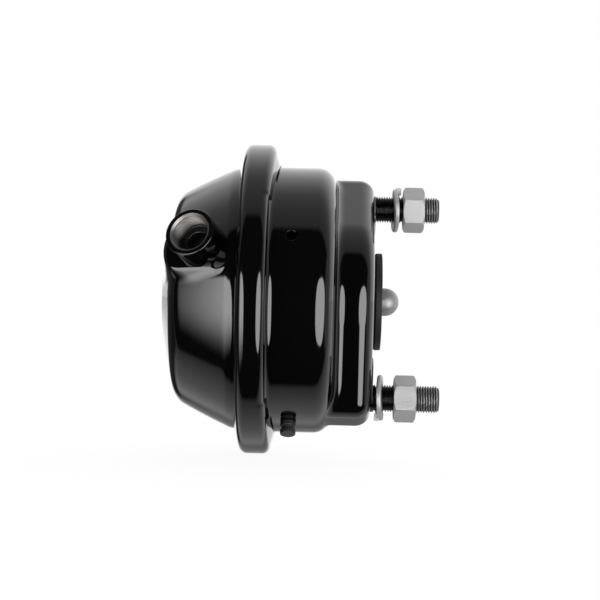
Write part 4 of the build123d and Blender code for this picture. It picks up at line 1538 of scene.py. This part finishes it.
def hexagon_head(spindle: Spindle, across_flats: float, height: float, bore: float,
                 both: bool = True, lead: float = 0.8, turn: float = 0.0) -> Patch:
    """Hexagon nut or head with chamfered faces.

    The chamfer is a cone about the axis. In each direction it runs from the face's circle to
    the hexagon's side at the height where the cone reaches it, which gives the curved line on
    each flat.

    Args:
        spindle: the nut's axis, from its seat.
        across_flats: the hexagon's width.
        height: the nut's height.
        bore: radius of its hole, or 0 for a solid head.
        both: whether the seat's face is chamfered too.
        lead: the countersink at the bore's ends.
        turn: how far it is turned about its axis, in degrees.

    Returns:
        A closed patch.
    """
    directions = np.radians(np.arange(0, 360, 2.5))
    side = np.linalg.norm(hexagon(across_flats).ring(directions)[0], axis=1)
    face, slope, soft, rounding = across_flats / 2 - 0.3, tan(radians(29)), 0.18, 0.3
    drop = (side - face) * slope
    start = drop if both else soft
    rim = face if both else side - soft
    loops = [
        (0.0, rim - 4 * soft), (0.0, rim - soft), (start * 0.12, rim + (side - rim) * 0.08),
        (start * 0.85, rim + (side - rim) * 0.85), (start + soft, side), (start + 4 * soft, side),
        (height / 2, side), (height - drop - 4 * soft, side), (height - drop - soft, side),
        (height - drop * 0.85, face + (side - face) * 0.85),
        (height - drop * 0.12, face + (side - face) * 0.08),
        (height, face - soft), (height, face - 4 * soft)]
    if bore > 0:
        mouth = bore + lead
        loops += [(height, mouth + rounding), (height, mouth), (height - lead, bore),
                  (lead, bore), (0.0, mouth), (0.0, mouth + rounding)]
    else:
        loops = [(0.0, 0.0), *loops, (height, 0.0)]
    angles = np.degrees(directions) + turn
    grid = np.stack([spindle.place(height, radius, angles) for height, radius in loops], axis=1)
    return Patch(grid, True, bore > 0)


def threaded_rod(spindle: Spindle, radius: float, depth: float, pitch: float, length: float,
                 start: float = 0.0, tip: float = 1.4, count: int = 60) -> Patch:
    """Rod with an outside thread.

    The radius is the rod's own less the thread's depth times the thread's wave, whose turns
    are height / pitch - angle / 360. The thread fades in over one pitch at its start, and the
    tip is cut by a cone of 45 degrees.

    Args:
        spindle: the rod's axis.
        radius: its outside radius.
        depth: the thread's depth.
        pitch: the distance between turns.
        length: the rod's length.
        start: the height at which the thread starts.
        tip: the chamfer at the free end.
        count: the number of angles.

    Returns:
        A patch closed at both ends.
    """
    angles = np.arange(count) * 360.0 / count
    heights = np.concatenate([[0.0, start], np.arange(start + pitch / 12, length, pitch / 12)[:-1],
                              [length]])
    wave = thread_wave(heights[None, :] / pitch - angles[:, None] / 360.0, 1.45, 0.2)
    outside = radius - depth * wave * smooth_step(start, start + pitch, heights)
    outside = np.minimum(outside, radius - tip + length - heights)
    grid = spindle.place(heights[None, :], outside, angles[:, None])
    ends = [spindle.place(end, 0.0, angles[:, None]) for end in (0.0, length)]
    ring = spindle.place(length, outside[:, -1:] * 0.9, angles[:, None])
    return Patch(np.concatenate([ends[0], grid, ring, ends[1]], axis=1), True)


@dataclass(frozen=True)
class StudSet:
    """A mounting stud with its nut and its split washer."""

    side: Side
    nut_x: float
    washer_x: float
    washer_turn: float
    washer_tilt: float
    nut_turn: float
    nut_body: Body
    washer_body: Body
    reach: float = 39.0
    radius: float = 8.0
    thread_depth: float = 1.15
    pitch: float = 1.5
    tip: float = 1.7
    head_x: float = -16.3
    head_radius: float = 11.0
    head_thickness: float = 5.5
    plate_x: float = -10.8
    across_flats: float = 24.0
    nut_height: float = 13.0
    bore: float = 8.05
    washer_inner: float = 8.7
    washer_outer: float = 13.7
    washer_thickness: float = 2.9
    washer_rise: float = 3.2
    washer_split: float = 26.0
    washer_corner: float = 1.1

    @property
    def prefix(self) -> str:
        """The side's name in lower case."""
        return self.side.name.lower()

    @property
    def centre(self) -> Pair:
        """The stud's place (y, z)."""
        return MountingFace().stud(self.side)

    def washer(self) -> Patch:
        """Split washer: a rounded rectangle carried once round the stud while it climbs.

        At an angle a past the split, the section lies at rise * a / (360 - split) along the
        stud. The whole ring hangs askew: it is shifted along the stud by tan(tilt) times the
        distance to the near side. Each end shrinks to its middle, which closes it.

        Returns:
            The patch.
        """
        middle = (self.washer_inner + self.washer_outer) / 2
        half = (self.washer_outer - self.washer_inner) / 2
        thick = self.washer_thickness
        loop = rounded(
            [(0, middle - half), (0, middle + half), (thick, middle + half),
             (thick, middle - half)], [self.washer_corner] * 4, 6, 1, closed=True)
        centre = loop.mean(axis=0)
        share = np.concatenate([[0, 0], np.linspace(0, 1, 121), [1, 1]])
        size = np.ones(len(share))
        size[[0, -1]] = 0.0
        size[[1, -2]] = 0.9
        section = centre + (loop[None] - centre) * size[:, None, None]
        angle = self.washer_turn + self.washer_split / 2 + share * (360 - self.washer_split)
        lean = tan(radians(self.washer_tilt)) * section[..., 1] * np.sin(np.radians(angle))[:, None]
        height = section[..., 0] + self.washer_rise * share[:, None] + lean
        spindle = MountingFace().spindle(self.side, self.washer_x)
        return Patch(spindle.place(height, section[..., 1], angle[:, None]), False, True)

    def build(self, finishes: Finishes) -> None:
        """Makes the stud, the nut and the washer and stands them in for their CAD nodes."""
        face = MountingFace()
        rod = threaded_rod(face.spindle(self.side, self.plate_x), self.radius, self.thread_depth,
                           self.pitch, self.reach - self.plate_x, -self.plate_x, self.tip)
        start = face.spindle(self.side, self.head_x)
        head = rounded([(0, 0), (0, self.head_radius), (self.head_thickness, self.head_radius),
                        (self.head_thickness, 0)], [0.8, 0.2], 4, 2)
        stud = weld(f"{self.prefix}_threaded_stud", [rod, start.turned(head, 60)], 50.0)
        dress(stud, finishes.studs[self.side], Body.CHAMBER, f"{self.prefix}_stud")
        nut = weld(f"{self.prefix}_hexagon_nut", [hexagon_head(
            face.spindle(self.side, self.nut_x), self.across_flats, self.nut_height, self.bore,
            turn=self.nut_turn)], 24.0)
        dress(nut, finishes.zinc, self.nut_body, f"{self.prefix}_nut")
        washer = weld(f"{self.prefix}_split_washer", [self.washer()])
        dress(washer, finishes.washer, self.washer_body,
              f"{self.prefix}_spring_washer")


@dataclass(frozen=True)
class ClampBolt:
    """The hexagon bolt and nut that pull the band's ears together."""

    band: ClampBand = ClampBand()
    radius: float = 4.0
    length: float = 34.0
    flats: float = 13.0
    head: float = 5.3
    nut: float = 6.8
    gap: float = 0.1

    def build(self, finishes: Finishes) -> None:
        """Makes the bolt and the nut and stands them in for their CAD nodes."""
        seat = self.band.end_gap / 2 + self.band.ear_thickness + self.gap
        up, along = UPWARDS, TOWARDS_ROD
        middle = np.array([self.band.flanges.middle_x, self.band.bolt_circle, 0.0])
        rod = threaded_rod(Spindle(middle - up * seat, up, along), self.radius, 0.6, 1.25,
                           self.length, 10.0, 0.7, 40)
        head = hexagon_head(Spindle(middle - up * seat, -up, along), self.flats, self.head, 0,
                            False)
        bolt = weld("band_bolt", [rod, head], 30.0)
        dress(bolt, finishes.zinc, Body.CHAMBER, "clamp_bolt")
        nut = weld("band_nut", [hexagon_head(Spindle(middle + up * seat, up, along), self.flats,
                                             self.nut, self.radius + self.gap, True, 0.4)], 24.0)
        dress(nut, finishes.zinc, Body.CHAMBER, "clamp_nut")


@dataclass(frozen=True)
class DrainPlug:
    """Rubber plug of two discs on a stem, one in each drain hole but the open one."""

    node: str
    index: int
    body: Body
    drain: Drain = Drain()
    flanges: Flanges = Flanges()
    gap: float = 0.1
    head: float = 4.5
    disc: float = 3.1
    waist: float = 3.4
    groove: float = 1.6
    stem_length: float = 6.0
    edge: float = 0.6

    def build(self, finishes: Finishes) -> None:
        """Makes the plug and stands it in for its CAD node."""
        along = polar(0.0, 1.0, self.drain.angle(self.index))
        base = self.flanges.cup_radius + self.gap
        spindle = Spindle(along * base + self.drain.x * TOWARDS_ROD, along, TOWARDS_ROD)
        stem = self.drain.radius - self.gap
        low, high = self.disc, self.disc + self.groove
        top = high + self.disc
        line = rounded(
            [(-self.stem_length, 0), (-self.stem_length, stem), (0, stem), (0, self.head),
             (low, self.head), (low, self.waist), (high, self.waist), (high, self.head),
             (top, self.head), (top, 0)],
            [self.edge, 0.05, 0.3, self.edge, 0.2, 0.2, self.edge, self.edge], 5, 1)
        piece = weld(self.node.replace("drain_plug", "rubber_plug"), [spindle.turned(line, 60)])
        dress(piece, finishes.plug, self.body, self.node)


@dataclass(frozen=True)
class MountingSeal:
    """Rubber ring that seals the opening in the mounting face."""

    plate_x: float = -10.8
    gap: float = 0.1
    lip_thickness: float = 2.2
    inner: float = 16.0
    flare: float = 3.0
    neck: float = 23.1
    lead: float = 0.5
    lip: float = 24.8
    back_x: float = -0.7
    disc: float = 29.0
    bevel: float = 1.6
    front_x: float = 4.4
    throat_x: float = -3.8

    def build(self, finishes: Finishes) -> None:
        """Makes the seal and stands it in for its CAD node."""
        lip_x = self.plate_x - self.gap
        tail = lip_x - self.lip_thickness
        line = rounded(
            [(tail, self.inner + self.flare), (tail, self.neck - self.lead), (lip_x, self.lip),
             (lip_x, self.neck), (self.back_x, self.neck), (self.back_x, self.disc - self.bevel),
             (self.back_x + self.bevel, self.disc), (self.front_x, self.disc),
             (self.front_x, self.inner), (self.throat_x, self.inner)],
            [0.4, 0.4, 0.3, 0.3, 0.3, 0.5, 0.5, 0.7, 2.2, 1.0], 6, 2, closed=True)
        piece = weld("face_seal", [turned(line, closed=True)])
        dress(piece, finishes.seal, Body.CHAMBER, "mounting_seal")


@dataclass(frozen=True)
class RodTrain:
    """The push plate and the ball-ended push rod."""

    plate_x: float = -110.2
    plate_thickness: float = 3.2
    plate_radius: float = 49.5
    plate_dish: float = 3.0
    plate_bend: float = 4.5
    radius: float = 8.3
    tip_x: float = 15.0
    foot_radius: float = 13.5
    foot_thickness: float = 3.5

    def build(self, finishes: Finishes) -> None:
        """Makes the plate and the rod and stands them in for their CAD nodes."""
        start = self.plate_x + self.plate_thickness
        ball_x = self.tip_x - self.radius
        shaft = rounded(
            [(start, 0), (start, self.foot_radius), (start + self.foot_thickness, self.foot_radius),
             (start + self.foot_thickness, self.radius), (ball_x, self.radius)],
            [0.3, 1.2, 0.6], 5, 3)
        turn = np.linspace(0, pi / 2, 25)
        ball = np.column_stack([ball_x + self.radius * np.sin(turn), self.radius * np.cos(turn)])
        rod = weld("ball_ended_rod", [turned(np.vstack([shaft[:-1], ball]))])
        dress(rod, finishes.ball, Body.ROD, "push_rod")
        rim_x = start + self.plate_dish
        outer = [(self.plate_x, 0.0), (self.plate_x, self.plate_radius), (rim_x, self.plate_radius)]
        front = rounded(outer, [self.plate_bend], 8, 3)
        back = rounded(parallel(outer, self.plate_thickness),
                       parallel_radii(outer, [self.plate_bend], self.plate_thickness), 8, 3)
        plate = weld("pressed_plate", [turned(np.vstack([front, back[::-1]]))])
        dress(plate, finishes.plain, Body.ROD, "push_plate")


@dataclass(frozen=True)
class SoftTrain:
    """What bends or is squeezed as the rod moves: the diaphragm, the boot and the spring."""

    flanges: Flanges = Flanges()
    rod: RodTrain = RodTrain()
    plate_x: float = -10.8
    gap: float = 0.3
    diaphragm_x: float = -113.5
    diaphragm_thickness: float = 3.0
    diaphragm_neck: float = 72.5
    diaphragm_corner: float = 8.0
    side_slope: float = 26.3
    bead_width: float = 7.3
    bead_inset: float = 0.5
    boot_thickness: float = 1.8
    boot_crest: float = 28.0
    boot_valley: float = 17.0
    boot_folds: int = 6
    boot_foot: float = 25.5
    boot_rim: float = 33.0
    boot_foot_thickness: float = 2.6
    sleeve: float = 9.0
    fold_bend: float = 2.2
    last_gap: float = 2.5
    wire: float = 2.4
    coil_plate: float = 43.5
    coil_seat: float = 40.0
    coils: float = 5.5
    retainer: float = 1.6
    retainer_gap: float = 0.4
    boot_gap: float = 0.1
    blend_margin: float = 6.0
    stroke: float = 64.0

    def diaphragm(self) -> Patch:
        """Closed section of the diaphragm, with its bead, turned about the axis."""
        slope = tan(radians(self.side_slope))
        housing = PressureHousing()
        corner_x, corner = housing.line()[0][2]
        start = corner - (self.flanges.wall + 2.0) / cos(radians(self.side_slope))
        start += (self.diaphragm_x - corner_x) * slope
        neck_x = self.diaphragm_x + (self.diaphragm_neck - start) / slope
        bead_x = self.flanges.middle_x - self.flanges.bead / 2 + 0.05
        rim = self.flanges.rim_radius - self.bead_inset
        outer = [(self.diaphragm_x, 0.0), (self.diaphragm_x, start), (neck_x, self.diaphragm_neck),
                 (bead_x, self.diaphragm_neck), (bead_x, rim)]
        radii = [self.diaphragm_corner, self.diaphragm_corner, 1.3]
        front = rounded(outer, radii, 7, 3)
        end_x = self.flanges.middle_x + self.flanges.bead / 2 - 0.05
        inner_rim = self.flanges.rim_radius - self.bead_width
        thick = self.diaphragm_thickness
        back_line = parallel(outer, thick)
        back_line[-1] = (back_line[-1][0], inner_rim)
        back = rounded([*back_line[:-1], (bead_x + thick, inner_rim), (end_x, inner_rim),
                        (end_x, rim), (bead_x, rim)],
                       [*parallel_radii(outer, radii, thick), 0.3, 0.6, 0.6], 7, 3)
        return turned(np.vstack([front, back[::-1]]))

    @property
    def sleeve_x(self) -> float:
        """Where the boot's sleeve starts on the rod."""
        return self.rod.plate_x + self.rod.plate_thickness + self.rod.foot_thickness + self.gap

    @property
    def folds_x(self) -> float:
        """Where the rigid sleeve ends and the folds begin, before the first bend."""
        return self.sleeve_x + self.sleeve - 2.0

    def boot_sleeve(self) -> Patch:
        """Plain sleeve that grips the rod, as a closed section turned about the axis."""
        inner = self.rod.radius + self.gap
        outer = inner + self.boot_thickness
        end_x = self.folds_x - 0.05
        line = np.array([(self.sleeve_x, inner), (self.sleeve_x, outer), (end_x, outer),
                         (end_x, inner)])
        return turned(line[::-1], COARSE_ANGLES, True)

    def boot(self) -> Patch:
        """Folded boot: crests and valleys as a rounded zigzag of even thickness."""
        foot_x = self.plate_x - self.boot_gap
        sleeve = self.rod.radius + self.gap + self.boot_thickness
        start = self.sleeve_x + self.sleeve
        end = foot_x - self.boot_foot_thickness - self.last_gap
        pitch = (end - start) / self.boot_folds
        zigzag = [(start + k * pitch / 2, self.boot_crest if k % 2 else self.boot_valley)
                  for k in range(1, 2 * self.boot_folds)]
        points = [(self.folds_x, sleeve), (start, sleeve), *zigzag,
                  (end, self.boot_foot + self.gap),
                  (foot_x - self.boot_foot_thickness / 2, self.boot_foot + self.gap + 2.0),
                  (foot_x - self.boot_foot_thickness / 2, self.boot_rim)]
        radii = [self.fold_bend] * (len(points) - 4) + [1.2, 0.9]
        outer = rounded(points, radii, 5, 1)
        inner = rounded(parallel(points, self.boot_thickness),
                        parallel_radii(points, radii, self.boot_thickness), 5, 1)
        return turned(np.vstack([outer, inner[::-1]]), COARSE_ANGLES, True)

    def spring(self) -> Patch:
        """Round wire wound on a cone, with a closed turn at each end.

        Along the wire, the turn t runs from 0 to the number of coils and two more. The pitch
        is one wire's diameter in the first and the last turn and even between them, and the
        coil's radius goes from one end's to the other's with the distance along the axis.

        Returns:
            The tube, closed at both ends.
        """
        rod = self.rod
        first = rod.plate_x + rod.plate_thickness + self.gap + self.wire
        last = self.plate_x - self.boot_gap - self.retainer - self.gap - self.wire
        turns = np.linspace(0, self.coils + 2, 620)
        open_share = smooth_step(0.4, 1.6, turns) + smooth_step(
            self.coils + 1.6, self.coils + 0.4, turns) - 1
        rate = 0.02 + np.clip(open_share, 0, 1)
        advance = np.cumsum(rate) - rate[0]
        x = first + (last - first) * advance / advance[-1]
        radius = np.interp(x, [first, last], [self.coil_plate, self.coil_seat])
        centre = polar(x, radius, turns * 360.0)
        along = unit(np.gradient(centre, axis=0))
        outward = unit(polar(np.zeros(len(x)), np.ones(len(x)), turns * 360.0))
        side = unit(np.cross(along, outward))
        about = np.radians(np.arange(0, 360, 22.5))
        size = np.full(len(x), self.wire)
        size[[0, -1]] = 0.0
        ring = (np.cos(about)[None, :, None] * outward[:, None] +
                np.sin(about)[None, :, None] * side[:, None])
        return Patch(centre[:, None] + ring * size[:, None, None], False, True)

    def build(self, finishes: Finishes) -> None:
        """Makes the diaphragm, the spring, the boot and its sleeve, which rides on the push rod."""
        rod = self.rod
        plate_end = rod.plate_x + rod.plate_thickness
        skin = weld("rolling_diaphragm", [self.diaphragm()])
        stand_in(skin, finishes.soft, "diaphragm")
        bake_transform(skin)
        spring = weld("coil_spring", [self.spring()])
        dress(spring, finishes.spring, Body.CHAMBER, "return_spring")
        boot = weld("folded_boot", [self.boot()])
        dress(boot, finishes.soft, Body.CHAMBER, "dust_boot")
        sleeve = weld("boot_sleeve", [self.boot_sleeve()])
        dress(sleeve, finishes.soft, Body.ROD, "dust_boot")
        for piece, fixed_x, moving_x in (
                (spring, self.plate_x - self.retainer - self.retainer_gap, plate_end + self.gap),
                (boot, self.plate_x - self.boot_gap, self.folds_x)):
            fixed_x * MM
            1.0 - self.stroke / (fixed_x - moving_x)
            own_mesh(piece)


@dataclass(frozen=True)
class Softbox:
    """A lamp in the surroundings, by the azimuth and elevation of its middle, in degrees."""

    azimuth: float
    elevation: float
    half_width: float
    half_height: float
    strength: float
    fade_aside: Optional[Pair] = None
    fade_down: Optional[Pair] = None


@dataclass(frozen=True)
class Studio:
    """Soft studio light, a white floor and the camera at the photograph's angle."""

    target: tuple[float, float, float] = (-44.1, 0.0, 0.0)
    distance: float = 1000.0
    azimuth: float = 1.0
    roll: float = 1.43
    lens: float = 100.0
    sensor: float = 36.0
    floor_drop: float = 1.0
    floor_size: float = 3000.0
    softboxes: tuple[Softbox, ...] = (
        Softbox(33.0, -9.0, 27.0, 26.5, 5.2),
        Softbox(-41.0, -17.0, 33.0, 33.0, 5.4, (-69.0, -44.0), (-50.0, -8.0)))
    upper: tuple[Pair, ...] = (
        (61, 0.02), (66, 0.3), (72, 0.34), (88, 0.44), (101, 0.56), (109, 0.73), (119, 1.0),
        (135, 1.3), (180, 1.5))
    lower: tuple[Pair, ...] = (
        (-180, 1.2), (-146, 1.15), (-128, 0.9), (-113, 0.71), (-102, 0.64), (-89, 0.45),
        (-81, 0.32), (-76, 0.02))
    top_level: float = 2.0
    squareness: float = 2.6
    behind_left_dimmed: float = 0.93
    low_back_dimmed: float = 0.65
    right_end_level: float = 0.45
    paper: float = 0.15
    glow: float = 1.1

    def world(self) -> None:
        """Lights the object from all round.

        The level depends on the angle about the X axis from the front over the top, which
        gives the long soft shading of a turned body; the front is dark but for the softboxes.
        Two parts behind the object are dimmed, and the end on the right gets a level of its
        own. The camera itself sees plain white.
        """
        world = bpy.data.worlds.new("studio")
        bpy.context.scene.world = world
        bench = Bench(world)
        x, y, z = bench.split(bench.coordinates("Generated"))
        front = y * -1.0
        turn = z.maths("ARCTAN2", front) * (180 / pi)
        stops = [((angle + 180) / 360, level / self.top_level) for angle, level in
                 (*self.lower, *self.upper)]
        place = (turn + 180.0) / 360.0
        ramp = bench.node("ShaderNodeValToRGB", {"stops": stops}, {0: place})
        level = bench.wire(ramp) * self.top_level
        behind_left = x.step(-0.28, -0.4) * y.step(-0.2, 0.1) * abs(z).step(0.62, 0.45)
        low_back = y.step(0.6, 0.8) * z.step(-0.15, -0.4)
        level = level * (1.0 - behind_left * self.behind_left_dimmed)
        level = level * (1.0 - low_back * self.low_back_dimmed)
        level = level.most(x.step(0.82, 0.92) * self.right_end_level)
        azimuth = x.maths("ARCTAN2", front) * (180 / pi)
        elevation = z.maths("ARCSINE") * (180 / pi)
        for box in self.softboxes:
            wide = abs((azimuth - box.azimuth) / box.half_width) ** self.squareness
            high = abs((elevation - box.elevation) / box.half_height) ** self.squareness
            glow = (wide + high).step(1.1, 0.9) * box.strength
            if box.fade_aside:
                glow = glow * azimuth.step(*box.fade_aside)
            if box.fade_down:
                glow = glow * elevation.step(*box.fade_down)
            level = level + glow
        around, white = (bench.node("ShaderNodeBackground", {}, {
            "Color": grey(1.0), "Strength": strength}) for strength in (level, 1.0))
        bench.to_camera(1.0, around, white, "ShaderNodeOutputWorld")

    def floor(self) -> None:
        """White floor just under the object, which keeps a faint shadow."""
        low = CAD_BOX[0][2] / MM - self.floor_drop
        half = self.floor_size / 2
        side = np.linspace(-half, half, 9)
        grid = np.stack(np.broadcast_arrays(side[:, None], side[None, :], low), axis=-1)
        piece = weld("studio_floor", [Patch(grid.astype(float))])
        material = bpy.data.materials.new("white_floor")
        bench = Bench(material)
        paper = bench.node("ShaderNodeBsdfDiffuse", {}, {"Color": grey(0.8)})
        glow = bench.node("ShaderNodeEmission", {}, {"Color": grey(1.0), "Strength": self.glow})
        bench.to_camera(1.0 - self.paper, paper, glow, "ShaderNodeOutputMaterial")
        piece.data.materials.append(material)
        piece.visible_glossy = False

    def camera(self) -> None:
        """Camera square to the chamber's axis, a little to one side and rolled as it was held."""
        data = bpy.data.cameras.new("camera")
        data.lens = self.lens
        data.sensor_width = self.sensor
        data.clip_end = 20.0
        camera = bpy.data.objects.new("camera", data)
        bpy.context.scene.collection.objects.link(camera)
        aim = Vector(self.target) * MM
        turn = radians(self.azimuth)
        offset = Vector((sin(turn), -cos(turn), 0.0)) * self.distance * MM
        facing = (-offset).to_track_quat("-Z", "Y").to_matrix().to_4x4()
        camera.matrix_world = (Matrix.Translation(aim + offset) @ facing
                               @ Matrix.Rotation(radians(self.roll), 4, "Z"))
        bpy.context.scene.camera = camera

    def build(self) -> None:
        """Sets up the light, the floor, the camera and the plain view."""
        self.world()
        self.floor()
        self.camera()
        bpy.context.scene.view_settings.view_transform = "Standard"


def dress_hidden(finishes: Finishes) -> None:
    """Gives the CAD nodes that stay, which hardly show, finishes of their own."""
    kept = {"stud_plate": finishes.paint, "boot_retainer": finishes.plain,
            "boot_clip": finishes.plain}
    for node, material in kept.items():
        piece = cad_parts[node]
        piece.data.materials.clear()
        piece.data.materials.append(material)
        LOG.info("%s: kept from the frame", node)


def main() -> None:
    """Builds the sub-assemblies in order."""
    logging.basicConfig(level=logging.INFO, format="%(name)s %(message)s")
    port = PortBush()
    studs = {
        Side.UPPER: StudSet(Side.UPPER, 17.0, 9.6, 17.0, 7.0, 6.3,
                            Body.UPPER_NUT, Body.UPPER_WASHER),
        Side.LOWER: StudSet(Side.LOWER, 12.4, 1.2, 170.0, -8.0, -5.5,
                            Body.LOWER_NUT, Body.LOWER_WASHER)}
    finishes = Finishes(port, studs)
    PressureHousing(port=port).build(finishes)
    port.build(finishes)
    MountingHousing().build(finishes)
    ClampBand().build(finishes)
    ClampBolt().build(finishes)
    for stud in studs.values():
        stud.build(finishes)
    MountingSeal().build(finishes)
    RodTrain().build(finishes)
    SoftTrain().build(finishes)
    for node, index, body in (("drain_plug_lower", 1, Body.PLUG_LOWER),
                              ("drain_plug_back", 2, Body.PLUG_BACK),
                              ("drain_plug_top", 3, Body.PLUG_TOP)):
        DrainPlug(node, index, body).build(finishes)
    dress_hidden(finishes)
    Studio().build()


if __name__ == "__main__":
    main()
